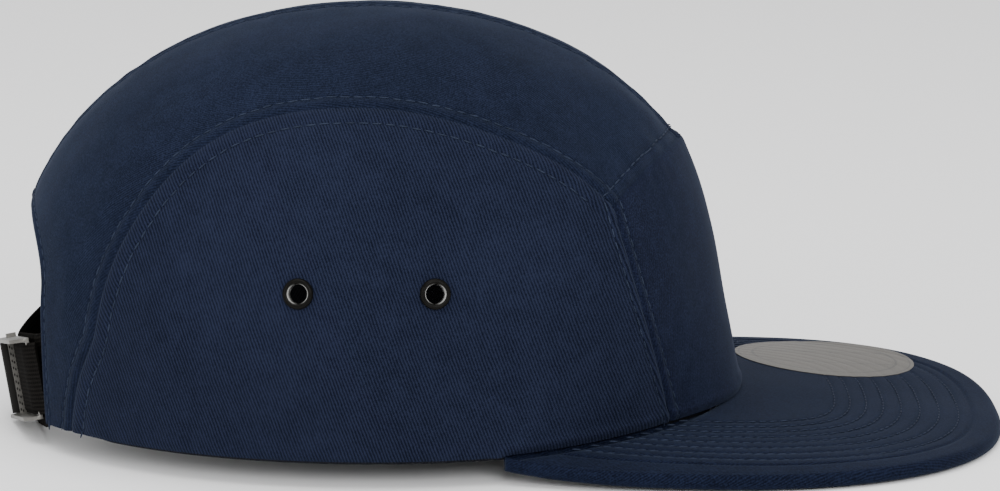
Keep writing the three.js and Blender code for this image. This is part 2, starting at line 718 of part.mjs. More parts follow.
// The bar at the clip's far end, with a row of teeth along its outer edge
function toothedBar() {
  const outline = new THREE.Shape();
  const [low, high] = [CLIP_SEAT, CLIP_SEAT + TOOTHED_BAR_DEPTH];
  const half = TOOTHED_BAR_HEIGHT / 2;
  outline.moveTo(-half, low);
  outline.lineTo(half, low);
  for (let y = half; y > -half + TOOTH_PITCH / 2; y -= TOOTH_PITCH) {
    outline.lineTo(y, high);
    outline.lineTo(y - TOOTH_PITCH / 2, high - TOOTH_DEPTH);
  }
  outline.lineTo(-half, high);
  const bar = new THREE.ExtrudeGeometry(outline, { depth: CLIP_SHEET, bevelEnabled: false });
  bar.applyMatrix4(new THREE.Matrix4().makeBasis(V(0, 1, 0), V(0, 0, 1), V(1, 0, 0)));
  return outwardRound(bar.translate(-CLIP_LENGTH / 2, 0, 0));
}

// Lever of the clip: a thumb plate that swings out round its knuckle
function clipLeverGeometry() {
  const tall = CLIP_HEIGHT / 2 - CLIP_SHEET - FIT_GAP;
  const knuckle = rodUp(PIN_RADIUS + PIN_CLEARANCE + KNUCKLE_WALL, 2 * tall);
  const top = PIN_Z + PIN_RADIUS + PIN_CLEARANCE + KNUCKLE_WALL;
  const outline = new THREE.Shape();
  const far = PIN_AT - LEVER_LENGTH;
  outline.moveTo(PIN_AT, top - LEVER_SHEET);
  outline.lineTo(PIN_AT, top);
  outline.lineTo(far + 3, top);
  outline.quadraticCurveTo(far + 1, top, far, top + 1);
  outline.lineTo(far, top + 1 - LEVER_SHEET);
  outline.quadraticCurveTo(far + 1, top - LEVER_SHEET, far + 3, top - LEVER_SHEET);
  const plate = new THREE.ExtrudeGeometry(outline, { depth: 2 * tall, bevelEnabled: false, curveSegments: 4 });
  plate.rotateX(Math.PI / 2).translate(0, tall, 0);
  plate.translate(-PIN_AT, 0, -PIN_Z).rotateY(-THREE.MathUtils.degToRad(LEVER_LEAN)).translate(PIN_AT, 0, PIN_Z);
  const bore = rodUp(PIN_RADIUS + PIN_CLEARANCE, 2 * CLIP_HEIGHT);
  return cut(join(knuckle, outwardRound(plate)), bore);
}

function addStrapAndClip() {
  const end = OPENING_HALF_WIDTH + STRAP_TUCK;
  const meet = -CLIP_FROM_MIDDLE - CLIP_LENGTH / 2 + CLIP_BAR;
  addPart('strap_right', strapGeometry(-end, meet - SEAM_GAP / 2, 12), 'webbing');
  addPart('strap_left', strapGeometry(meet + SEAM_GAP / 2, end, 34), 'webbing');
  const place = clipPlace();
  addPart('clip_frame', clipFrameGeometry(), 'steel', place);
  addPart('clip_pin', rodUp(PIN_RADIUS, CLIP_HEIGHT), 'steel', place);
  addPart('clip_lever', clipLeverGeometry(), 'black', place);
  cap.add(place);
}

// Round sticker lying on the peak, on the wearer's left
function stickerGeometry() {
  const steps = 36;
  const rings = 3;
  const centre = [FRONT_FOOT_X + STICKER_AHEAD, STICKER_SIDE];
  const points = [];
  const faces = [];
  for (const lift of [FIT_GAP + STICKER_THICKNESS, FIT_GAP]) {
    points.push(centre[0], centre[1], peakTop(...centre) + lift);
    for (let r = 1; r <= rings; r += 1) {
      for (let k = 0; k < steps; k += 1) {
        const angle = 2 * Math.PI * k / steps;
        const x = centre[0] + STICKER_DIAMETER / 2 * r / rings * Math.cos(angle);
        const y = centre[1] + STICKER_DIAMETER / 2 * r / rings * Math.sin(angle);
        points.push(x, y, peakTop(x, y) + lift);
      }
    }
  }
  const layer = 1 + rings * steps;
  const at = (side, r, k) => side * layer + 1 + (r - 1) * steps + k % steps;
  for (let k = 0; k < steps; k += 1) {
    faces.push(0, at(0, 1, k), at(0, 1, k + 1), layer, at(1, 1, k + 1), at(1, 1, k));
    for (let r = 1; r < rings; r += 1) {
      faces.push(at(0, r, k), at(0, r + 1, k), at(0, r + 1, k + 1));
      faces.push(at(0, r, k), at(0, r + 1, k + 1), at(0, r, k + 1));
      faces.push(at(1, r, k), at(1, r + 1, k + 1), at(1, r + 1, k));
      faces.push(at(1, r, k), at(1, r, k + 1), at(1, r + 1, k + 1));
    }
    faces.push(at(0, rings, k), at(1, rings, k), at(1, rings, k + 1));
    faces.push(at(0, rings, k), at(1, rings, k + 1), at(0, rings, k + 1));
  }
  return solidOf(points, faces);
}

// Puts the middle of the cap's box on the origin, with its lowest point on the ground
function settle() {
  cap.updateMatrixWorld(true);
  const box = new THREE.Box3();
  cap.traverse((item) => {
    if (item.isMesh) box.expandByObject(item, true);
  });
  const middle = box.getCenter(V(0, 0, 0));
  cap.position.set(-middle.x, -middle.y, -box.min.z);
}

addPanels();
addEyelets();
addPart('peak', peakGeometry(), 'twill');
addPart('sweatband', bandGeometry(), 'lining');
addStrapAndClip();
addPart('peak_sticker', stickerGeometry(), 'sticker');
settle();

export default cap;
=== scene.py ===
"""A navy five panel cap: twill crown, stitched flat peak, webbing strap and a metal cam clip.

Lengths are in millimetres until a mesh is made. +X points ahead over the peak, +Y to the
wearer's left, +Z up.
"""
import math

import bmesh
import bpy
import numpy as np
from mathutils import Matrix, Vector, noise
from mathutils.bvhtree import BVHTree


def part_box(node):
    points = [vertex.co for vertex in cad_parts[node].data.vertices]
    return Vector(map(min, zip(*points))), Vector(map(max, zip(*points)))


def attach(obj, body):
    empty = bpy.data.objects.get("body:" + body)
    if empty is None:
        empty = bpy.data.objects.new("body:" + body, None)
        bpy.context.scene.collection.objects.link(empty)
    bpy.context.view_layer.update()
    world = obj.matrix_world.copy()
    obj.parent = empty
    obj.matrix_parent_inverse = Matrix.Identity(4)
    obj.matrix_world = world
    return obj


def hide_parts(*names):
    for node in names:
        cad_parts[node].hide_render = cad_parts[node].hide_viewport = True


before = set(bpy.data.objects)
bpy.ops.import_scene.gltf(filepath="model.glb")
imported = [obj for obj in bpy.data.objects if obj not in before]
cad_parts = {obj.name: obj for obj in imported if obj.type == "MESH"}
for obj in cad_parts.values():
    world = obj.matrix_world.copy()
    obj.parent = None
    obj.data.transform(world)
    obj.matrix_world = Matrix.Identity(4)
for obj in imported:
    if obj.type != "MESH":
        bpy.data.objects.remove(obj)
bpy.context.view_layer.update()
MM = 0.001

# Crown, as in the solids
CROWN_HALF_LENGTH = 100.5
CROWN_HALF_WIDTH = 80.5
CROWN_WIDER_FRONT = 0.04
WALL_HEIGHT = 30
DOME_HEIGHT = 82
DOME_POWER = 2.09
RIM_TUCK = 2.4
RIM_Z = 7.8
DOME_Z = RIM_Z + WALL_HEIGHT
CLOTH = 1.6
SEAM_GAP = 0.3
FIT_GAP = 0.35

# Seams and the rear opening, as in the solids
FRONT_TOP_X = 88
FRONT_TOP_RISE = 74.5
FRONT_CORNER_RISE = 64.5
FRONT_SEAM_FOOT_X = 83.5
FRONT_FOOT_X = 105.4
TOP_HALF_WIDTH = 55
FRONT_SEAM_CURVE = 1.15
CROSS_SEAM_SWEEP = 1.55
CROSS_SEAM_FALL = 2.7
FRONT_FOOT_ROUNDNESS = 2.1
TOP_FLATTENS_FROM = 0.8
OPENING_HALF_WIDTH = 33.3
OPENING_STRAIGHT = 37
OPENING_ARCH = 20
OPENING_ARCH_LENGTH = 1.6 * OPENING_ARCH
WALL_PART = 0.2
ARC_SPLIT = 0.3
RIM_SHARE = 2 / 9

# Arched seam: share of its run from the rear rim, and of the top panels' half width
ARC_WIDTH = [(0, 0.79), (0.1, 0.86), (0.2, 0.96), (0.32, 0.995), (0.5, 0.955), (0.68, 0.985),
             (0.85, 1), (1, 0.94)]
# Front panel's middle line: share of its height, and of how far it leans back
FRONT_LEAN = [(0, 0), (0.16, 0.19), (0.48, 0.43), (0.66, 0.57), (0.86, 0.79), (1, 1)]

# Peak, as in the solids
PEAK_LENGTH = 73
PEAK_HALF_WIDTH = 82.5
PEAK_WIDEST_X = 92
PEAK_CORNER_X = 38
PEAK_CORNER_OVERHANG = 1.2
PEAK_THICKNESS = 4
PEAK_SEAT_Z = 10.3
PEAK_FALL = 6.9
PEAK_SIDE_DROP = 11
PEAK_ROUNDNESS = 2.5
PEAK_SIDE_CURVE = 2.2
PEAK_FRONT_SHARE = 0.68
PEAK_ROOT_SHARE = 0.42
PEAK_TIP_X = FRONT_FOOT_X + PEAK_LENGTH

# Sweatband, strap, eyelets and sticker, as in the solids
BAND_HEIGHT = 28
BAND_THICKNESS = 1.4
BAND_SHOWS = 1.2
BAND_EASE = 0.8
BAND_LEAN = 3
STRAP_EASE = 0.6
STRAP_WIDTH = 27
STRAP_THICKNESS = 1.5
STRAP_TUCK = 15
STRAP_LEAN = 11
STRAP_EDGE_LEAN = 7
STRAP_BULGE = 9.6
STRAP_DROP = 7.7
STRAP_PRESSED = 0.5
CLIP_FROM_MIDDLE = 15
CLIP_LENGTH = 26
CLIP_BAR = 4
CLIP_HEIGHT = 23
CLIP_RISE = 1
CLIP_SHEET = 1
CLIP_SEAT = 0.9
EYELET_OUTER = 8
EYELET_HOLE = 5.3
EYELET_FLANGE = 0.9
EYELET_HEIGHT = 46.2
EYELET_REAR_X = -17
EYELET_FRONT_X = 19.4
STICKER_DIAMETER = 53
STICKER_THICKNESS = 0.4
STICKER_AHEAD = 27
STICKER_SIDE = 44.5

# Sewing
STITCH_PITCH = 3.5
STITCH_LENGTH = 3.1
THREAD = 0.5
ARC_ROW = 3.5
ARC_ROW_BELOW = 5.4
FRONT_ROW = 3
CROSS_ROW = 3.8
OPENING_ROW = 3
PEAK_BAND = 8
PEAK_FIRST_ROW = 12
PEAK_ROW_SPACING = 5.25
PEAK_ROWS = 8

# The solids stand with their box's middle on the origin
SHIFT = np.array([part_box("peak")[1][0] / MM - PEAK_TIP_X, 0, 0])


def vec(x, y, z):
    return np.stack(np.broadcast_arrays(x, y, z), axis=-1).astype(float)


def smooth_step(value, low, high):
    t = np.clip((value - low) / (high - low), 0, 1)
    return t * t * (3 - 2 * t)


def unit(vectors):
    return vectors / np.linalg.norm(vectors, axis=-1, keepdims=True)


def raised(xy, z):
    """Points at a height over a plan."""
    return vec(xy[..., 0], xy[..., 1], z)


def hump(value, middle, width):
    """1 at a middle value, falling away smoothly to both sides."""
    return np.exp(-((value - middle) / width) ** 2)


def read_table(rows, share):
    """Second column at a share of the first, by a smooth curve."""
    x, y = np.array(rows, dtype=float).T
    slope = np.diff(y) / np.diff(x)
    tangent = np.concatenate([slope[:1], (slope[:-1] + slope[1:]) / 2, slope[-1:]])
    share = np.asarray(share, dtype=float)
    i = np.clip(np.searchsorted(x, share, side="left") - 1, 0, len(slope) - 1)
    w = x[i + 1] - x[i]
    t = (share - x[i]) / w
    return ((1 + 2 * t) * (1 - t) ** 2 * y[i] + t * (1 - t) ** 2 * w * tangent[i]
            + t * t * (3 - 2 * t) * y[i + 1] + t * t * (t - 1) * w * tangent[i + 1])


# Surface of the crown

def crown_share(p):
    """How far points lie out from the middle of the crown, 1 on its surface."""
    widen = 1 + CROWN_WIDER_FRONT * p[..., 0] / CROWN_HALF_LENGTH
    below = np.clip((DOME_Z - p[..., 2]) / WALL_HEIGHT, 0, 1)
    half_width = CROWN_HALF_WIDTH * widen - RIM_TUCK * below * below
    up = np.maximum(p[..., 2] - DOME_Z, 0) / DOME_HEIGHT
    level = np.hypot(p[..., 0] / CROWN_HALF_LENGTH, p[..., 1] / half_width)
    return (level ** DOME_POWER + up ** DOME_POWER) ** (1 / DOME_POWER)


def on_crown(p):
    """The crown's surface along rays from its middle."""
    q = np.array(p, dtype=float)
    for _ in range(6):
        share = crown_share(q)
        q[..., 0] /= share
        q[..., 1] /= share
        q[..., 2] = np.where(q[..., 2] > DOME_Z, DOME_Z + (q[..., 2] - DOME_Z) / share, q[..., 2])
    return q


def crossing(point_at, like, reach):
    """Where a line of points leaves the crown."""
    low = np.zeros(np.shape(like))
    high = np.full(np.shape(like), float(reach))
    for _ in range(40):
        middle = (low + high) / 2
        inside = crown_share(point_at(middle)) < 1
        low = np.where(inside, middle, low)
        high = np.where(inside, high, middle)
    return point_at(low)


def crown_at(x, z, side):
    x, z = np.broadcast_arrays(x, z)
    return crossing(lambda y: vec(x, side * y, z), x, CROWN_HALF_WIDTH * 1.2)


def end_at(y, z, end):
    y, z = np.broadcast_arrays(y, z)
    return crossing(lambda x: vec(end * x, y, z), y, CROWN_HALF_LENGTH * 1.2)


def crown_ray(y, angle):
    y, angle = np.broadcast_arrays(y, angle)
    return crossing(lambda r: vec(r * np.cos(angle), y, DOME_Z + r * np.sin(angle)), y,
                    CROWN_HALF_LENGTH * 1.5)


def outward(p):
    up = np.maximum(p[..., 2] - DOME_Z, 0)
    return unit(vec(p[..., 0] / CROWN_HALF_LENGTH ** 2, p[..., 1] / CROWN_HALF_WIDTH ** 2,
                    up / DOME_HEIGHT ** 2))


def peak_top(x, y):
    middle = PEAK_SEAT_Z - PEAK_FALL * (x - FRONT_FOOT_X) / PEAK_LENGTH
    ahead = (x - PEAK_CORNER_X) / (PEAK_TIP_X - PEAK_CORNER_X)
    return middle - PEAK_SIDE_DROP * (1 - ahead) * (y / PEAK_HALF_WIDTH) ** 2


def rim_height(x, y):
    return np.where(x > PEAK_CORNER_X, np.maximum(peak_top(x, y) + SEAM_GAP, RIM_Z), RIM_Z)


# Seam lines

def corner_at(side):
    return end_at(side * TOP_HALF_WIDTH * ARC_WIDTH[-1][1], RIM_Z + FRONT_CORNER_RISE, 1)


def front_seam(t, side):
    """From the peak (0) to the front corner (1)."""
    t = np.asarray(t, dtype=float)
    foot = crown_at(FRONT_SEAM_FOOT_X, RIM_Z, side)
    low = rim_height(foot[0], foot[1])
    x = FRONT_SEAM_FOOT_X + (corner_at(side)[0] - FRONT_SEAM_FOOT_X) * t ** FRONT_SEAM_CURVE
    return crown_at(x, low + (RIM_Z + FRONT_CORNER_RISE - low) * t, side)


def arc_seam(t, side):
    """From the rim at the rear (0) over the side panel to the front corner (1)."""
    t = np.asarray(t, dtype=float)
    y = side * TOP_HALF_WIDTH * read_table(ARC_WIDTH, t)
    corner = front_seam(1, side)
    last = math.atan2(corner[2] - DOME_Z, corner[0])
    over = np.clip((t - WALL_PART) / (1 - WALL_PART), 0, 1)
    wall = end_at(y, RIM_Z + WALL_HEIGHT * np.minimum(t / WALL_PART, 1), -1)
    dome = crown_ray(y, math.pi + (last - math.pi) * over)
    p = np.where((t <= WALL_PART)[..., None], wall, dome)
    return np.where((t > 0.9999)[..., None], corner, p)


def cross_seam(t, side):
    """From the middle of the cap (0) to the front corner (1)."""
    t = np.asarray(t, dtype=float)
    corner = front_seam(1, side)
    top = RIM_Z + FRONT_TOP_RISE
    return vec(FRONT_TOP_X + (corner[0] - FRONT_TOP_X) * t ** CROSS_SEAM_SWEEP, corner[1] * t,
               top + (corner[2] - top) * t ** CROSS_SEAM_FALL)


def centre_seam(t):
    """Over the top from the rear opening (0) to the cross seam (1)."""
    t = np.asarray(t, dtype=float)
    rear = end_at(0, RIM_Z + OPENING_STRAIGHT + OPENING_ARCH, -1)
    first = math.pi - math.atan2(rear[2] - DOME_Z, -rear[0])
    last = math.atan2(RIM_Z + FRONT_TOP_RISE - DOME_Z, FRONT_TOP_X)
    p = crown_ray(0, first + (last - first) * t)
    tip = vec(FRONT_TOP_X, 0, RIM_Z + FRONT_TOP_RISE)
    return np.where((t > 0.9999)[..., None], tip, p)


def opening_edge(t, side):
    """Along the rear rim, then up the side of the opening to the middle of its arch."""
    t = np.asarray(t, dtype=float)
    foot = arc_seam(0, side)[1]
    up = np.maximum(t - RIM_SHARE, 0) / (1 - RIM_SHARE) * (OPENING_STRAIGHT + OPENING_ARCH_LENGTH)
    turn = np.maximum(0, up - OPENING_STRAIGHT) / OPENING_ARCH_LENGTH * math.pi / 2
    y = np.where(t < RIM_SHARE, foot + (side * OPENING_HALF_WIDTH - foot) * t / RIM_SHARE,
                 side * OPENING_HALF_WIDTH * np.cos(turn))
    z = RIM_Z + np.minimum(up, OPENING_STRAIGHT) + OPENING_ARCH * np.sin(turn)
    return end_at(y, z, -1)


def stretched(bottom, top, left, right, u, v):
    """Points stretched between four edges: bottom and top along u, left and right along v."""
    b, t = bottom(u)[:, None, :], top(u)[:, None, :]
    l, r = left(v)[None, :, :], right(v)[None, :, :]
    uu, vv = u[:, None, None], v[None, :, None]
    corners = ((1 - uu) * (1 - vv) * b[0] + uu * (1 - vv) * b[-1]
               + (1 - uu) * vv * t[0] + uu * vv * t[-1])
    return b * (1 - vv) + t * vv + l * (1 - uu) + r * uu - corners


def fine_edges(length, coarse=1.5, fine=0.4, edge=6.5):
    """Shares from 0 to 1 along a length, closer together near both ends."""
    end = np.arange(0, edge, fine)
    middle = np.linspace(edge, length - edge, int((length - 2 * edge) / coarse) + 1)
    return np.concatenate([end, middle, length - end[::-1]]) / length


# Cloth near a seam

def path_distance(points, path):
    """Distance from points to a path of short straight pieces, and how far along it they lie."""
    flat = points.reshape(-1, points.shape[-1])
    best = np.full(len(flat), 1e9)
    along = np.zeros(len(flat))
    run = 0.0
    for a, b in zip(path[:-1], path[1:]):
        step = b - a
        length = float(np.linalg.norm(step))
        if length < 1e-9:
            continue
        t = np.clip((flat - a) @ step / length ** 2, 0, 1)
        gap = np.linalg.norm(flat - a - t[:, None] * step, axis=1)
        nearer = gap < best
        best = np.where(nearer, gap, best)
        along = np.where(nearer, run + t * length, along)
        run += length
    return best.reshape(points.shape[:-1]), along.reshape(points.shape[:-1])


RIPPLES = 7


def ripple(along, seed, shortest=4.5, longest=14):
    """Uneven small waves along a seam."""
    rng = np.random.default_rng(seed)
    waves = rng.uniform(shortest, longest, RIPPLES)
    phases = rng.uniform(0, 2 * math.pi, RIPPLES)
    return sum(np.sin(2 * math.pi * along / w + f) for w, f in zip(waves, phases)) / 3


# A seam's groove and puckers, the turned-in cloth's height, and the groove its stitches pull
SEAM_WIDTH = 0.75
PUCKERS_FROM = 1.4
PUCKERS_TO = 8
TURNED_IN = 0.24
TURNED_IN_MIDDLE = 0.52
TURNED_IN_WIDTH = 0.33
ROW_GROOVE = 0.26
ROW_WIDTH = 0.65
ROW_HOLES = 0.12


def seam_relief(points, path, row, seed, depth, pucker):
    """Cloth turned in at a seam, held down by a row of stitches, with small puckers."""
    away, along = path_distance(points, path)
    relief = -depth * hump(away, 0, SEAM_WIDTH)
    relief += (pucker * ripple(along, seed) * hump(away, 0, PUCKERS_TO)
               * (1 - hump(away, 0, PUCKERS_FROM)))
    if row:
        relief += TURNED_IN * hump(away, row * TURNED_IN_MIDDLE, row * TURNED_IN_WIDTH)
        holes = 1 - ROW_HOLES + ROW_HOLES * np.cos(2 * math.pi * along / STITCH_PITCH)
        relief -= ROW_GROOVE * holes * hump(away, row, ROW_WIDTH)
    return relief


def soft_waves(points, size, depth, seed):
    """Slow uneven waves over cloth."""
    flat = points.reshape(-1, 3)
    shift = Vector((seed * 7.3, seed * 3.1, seed * 5.7))
    values = [noise.fractal(Vector(p / size) + shift, 0.8, 2.0, 2) for p in flat]
    return depth * np.array(values).reshape(points.shape[:-1])


def eyelet_spot(x, side):
    return crown_at(x, RIM_Z + EYELET_HEIGHT, side)


EYELET_PLACES = (("rear", EYELET_REAR_X), ("front", EYELET_FRONT_X))


def eyelet_relief(points, side):
    """Cloth pressed flat round each eyelet, and how free it is to wave there."""
    relief = 0.0
    free = 1.0
    for _, x in EYELET_PLACES:
        away = np.linalg.norm(points - eyelet_spot(x, side), axis=-1)
        relief = relief - 0.25 * np.exp(-(away / 5.2) ** 4)
        free = free * (1 - np.exp(-(away / 9) ** 2))
    return relief, free


# Meshes

def in_scene(name, data):
    obj = bpy.data.objects.new(name, data)
    bpy.context.scene.collection.objects.link(obj)
    return obj


def quads(a):
    """Four-sided faces between neighbours in a grid of point numbers."""
    return np.stack([a[:-1, :-1], a[1:, :-1], a[1:, 1:], a[:-1, 1:]], -1).reshape(-1, 4)


def new_piece(name, points, faces, material, uv=None):
    """A mesh object from points in millimetres, with its faces pointing out."""
    place = (points + SHIFT) * MM
    faces = np.asarray(faces)
    a, b, c = place[faces[:, 0]], place[faces[:, 1]], place[faces[:, 2]]
    d = place[faces[:, -1]]
    volume = sum(np.einsum("ij,ij->i", a, np.cross(p, q)).sum() for p, q in ((b, c), (c, d)))
    if volume < 0:
        faces = faces[:, ::-1]
    mesh = bpy.data.meshes.new(name)
    mesh.from_pydata(place.tolist(), [], faces.tolist())
    if uv is not None:
        corner = np.zeros(len(mesh.loops), dtype=np.int32)
        mesh.loops.foreach_get("vertex_index", corner)
        layer = mesh.uv_layers.new(name="cloth")
        layer.data.foreach_set("uv", (uv[corner] * MM).ravel().astype(np.float32))
    mesh.shade_smooth()
    mesh.set_sharp_from_angle(angle=math.radians(55))
    mesh.materials.append(material)
    return in_scene(name, mesh)


def grid_faces(columns, rows):
    """Faces of a closed wall between two grids of points, the outer grid's points first."""
    index = np.arange(2 * columns * rows).reshape(2, columns, rows)

    def strip(out, back):
        return np.stack([out[:-1], out[1:], back[1:], back[:-1]], -1)

    out, back = index
    return np.concatenate([
        quads(out), quads(back)[:, ::-1],
        strip(out[:, 0], back[:, 0])[:, ::-1], strip(out[:, -1], back[:, -1]),
        strip(out[0], back[0]), strip(out[-1], back[-1])[:, ::-1],
    ])


def wall_piece(name, outer, inner, material, uv):
    points = np.concatenate([outer.reshape(-1, 3), inner.reshape(-1, 3)])
    return new_piece(name, points, grid_faces(*outer.shape[:2]), material,
                     np.tile(uv.reshape(-1, 2), (2, 1)))


def run_lengths(points, axis):
    """Length along a grid's columns or rows, up to each point."""
    steps = np.linalg.norm(np.diff(points, axis=axis), axis=-1)
    start = np.zeros_like(np.take(steps, [0], axis=axis))
    return np.concatenate([start, np.cumsum(steps, axis=axis)], axis=axis)


def surface_of(obj):
    """For finding the nearest place on a finished piece."""
    return BVHTree.FromPolygons([v.co for v in obj.data.vertices],
                                [p.vertices for p in obj.data.polygons])


# Node trees

def stitch_rows_tree():
    """Stitches set end to end along each line of a mesh, standing on its "out" directions."""
    tree = bpy.data.node_groups.new("Stitch rows", "GeometryNodeTree")
    for name, kind in (("Lines", "Geometry"), ("Pitch", "Float"), ("Length", "Float"),
                       ("Thread", "Float"), ("Material", "Material")):
        tree.interface.new_socket(name, in_out="INPUT", socket_type="NodeSocket" + kind)
    tree.interface.new_socket("Stitches", in_out="OUTPUT", socket_type="NodeSocketGeometry")
    new = tree.nodes.new
    given = new("NodeGroupInput")
    made = new("NodeGroupOutput")
    curve = new("GeometryNodeMeshToCurve")
    spaced = new("GeometryNodeResampleCurve")
    spaced.mode = "LENGTH"
    out = new("GeometryNodeInputNamedAttribute")
    out.data_type = "FLOAT_VECTOR"
    out.inputs["Name"].default_value = "out"
    tangent = new("GeometryNodeInputTangent")
    turn = new("FunctionNodeAxesToRotation")
    turn.primary_axis = "Z"
    turn.secondary_axis = "X"
    shape = new("GeometryNodeMeshUVSphere")
    shape.inputs["Segments"].default_value = 8
    shape.inputs["Rings"].default_value = 6
    half_length, half_thread = new("ShaderNodeMath"), new("ShaderNodeMath")
    for node in (half_length, half_thread):
        node.operation = "MULTIPLY"
        node.inputs[1].default_value = 0.5
    size = new("ShaderNodeCombineXYZ")
    uneven = new("FunctionNodeRandomValue")
    uneven.data_type = "FLOAT_VECTOR"
    uneven.inputs["Min"].default_value = (0.86, 0.85, 0.8)
    uneven.inputs["Max"].default_value = (1.05, 1.1, 1.1)
    uneven.inputs["Seed"].default_value = 11
    scale = new("ShaderNodeVectorMath")
    scale.operation = "MULTIPLY"
    place = new("GeometryNodeInstanceOnPoints")
    real = new("GeometryNodeRealizeInstances")
    smooth = new("GeometryNodeSetShadeSmooth")
    finish = new("GeometryNodeSetMaterial")
    vector_out = [s for s in out.outputs if s.enabled and s.name == "Attribute"][0]
    uneven_out = [s for s in uneven.outputs if s.enabled][0]
    for source, target in (
        (given.outputs["Lines"], curve.inputs[0]),
        (curve.outputs[0], spaced.inputs["Curve"]),
        (given.outputs["Pitch"], spaced.inputs["Length"]),
        (spaced.outputs[0], place.inputs["Points"]),
        (shape.outputs["Mesh"], place.inputs["Instance"]),
        (vector_out, turn.inputs["Primary Axis"]),
        (tangent.outputs[0], turn.inputs["Secondary Axis"]),
        (turn.outputs[0], place.inputs["Rotation"]),
        (given.outputs["Length"], half_length.inputs[0]),
        (given.outputs["Thread"], half_thread.inputs[0]),
        (half_length.outputs[0], size.inputs["X"]),
        (half_thread.outputs[0], size.inputs["Y"]),
        (half_thread.outputs[0], size.inputs["Z"]),
        (size.outputs[0], scale.inputs[0]),
        (uneven_out, scale.inputs[1]),
        (scale.outputs[0], place.inputs["Scale"]),
        (place.outputs[0], real.inputs[0]),
        (real.outputs[0], smooth.inputs[0]),
        (smooth.outputs[0], finish.inputs["Geometry"]),
        (given.outputs["Material"], finish.inputs["Material"]),
        (finish.outputs[0], made.inputs[0]),
    ):
        tree.links.new(source, target)
    return tree


STITCH_TREE = stitch_rows_tree()


def made_by(tree, name, source, **values):
    """The plain mesh that a node tree makes from a source object."""
    modifier = source.modifiers.new("make", "NODES")
    modifier.node_group = tree
    for item in tree.interface.items_tree:
        if item.in_out == "INPUT" and item.name in values:
            modifier[item.identifier] = values[item.name]
    depsgraph = bpy.context.evaluated_depsgraph_get()
    mesh = bpy.data.meshes.new_from_object(source.evaluated_get(depsgraph))
    source.modifiers.remove(modifier)
    bpy.data.objects.remove(source)
    mesh.name = name
    return in_scene(name, mesh)


def sewn(name, rows, thread, pitch=STITCH_PITCH, length=STITCH_LENGTH, width=THREAD):
    """Stitches along rows of (points, out directions), in millimetres."""
    points = np.concatenate([p for p, _ in rows])
    out = np.concatenate([o for _, o in rows])
    edges = []
    start = 0
    for p, _ in rows:
        edges += [(start + i, start + i + 1) for i in range(len(p) - 1)]
        start += len(p)
    mesh = bpy.data.meshes.new(name)
    mesh.from_pydata(((points + SHIFT) * MM).tolist(), edges, [])
    attribute = mesh.attributes.new("out", "FLOAT_VECTOR", "POINT")
    attribute.data.foreach_set("vector", out.ravel().astype(np.float32))
    source = in_scene(name + "_lines", mesh)
    return made_by(STITCH_TREE, name, source, Pitch=pitch * MM, Length=length * MM,
                   Thread=width * MM, Material=thread)


def row_beside(path, directions, offset, tree, lift=0.1):
    """A row of stitches beside a seam: its points on the cloth and the directions out of it."""
    points = []
    outs = []
    for p, across in zip(path, directions):
        spot, normal = tree.find_nearest(Vector(((p + across * offset + SHIFT) * MM).tolist()))[:2]
        normal = np.array(normal)
        points.append(np.array(spot) / MM - SHIFT + normal * lift)
        outs.append(normal)
    return np.array(points), np.array(outs)


def across_seam(path, side_of):
    """Directions on the cloth square to a seam, towards a point on one side of it."""
    ahead = unit(np.gradient(path, axis=0))
    out = outward(path)
    across = unit(np.cross(out, ahead))
    flip = np.sign(np.einsum("ij,ij->i", across, side_of - path))
    return across * flip[:, None]


# Finishes

WAVE_PERIOD = math.pi / 10


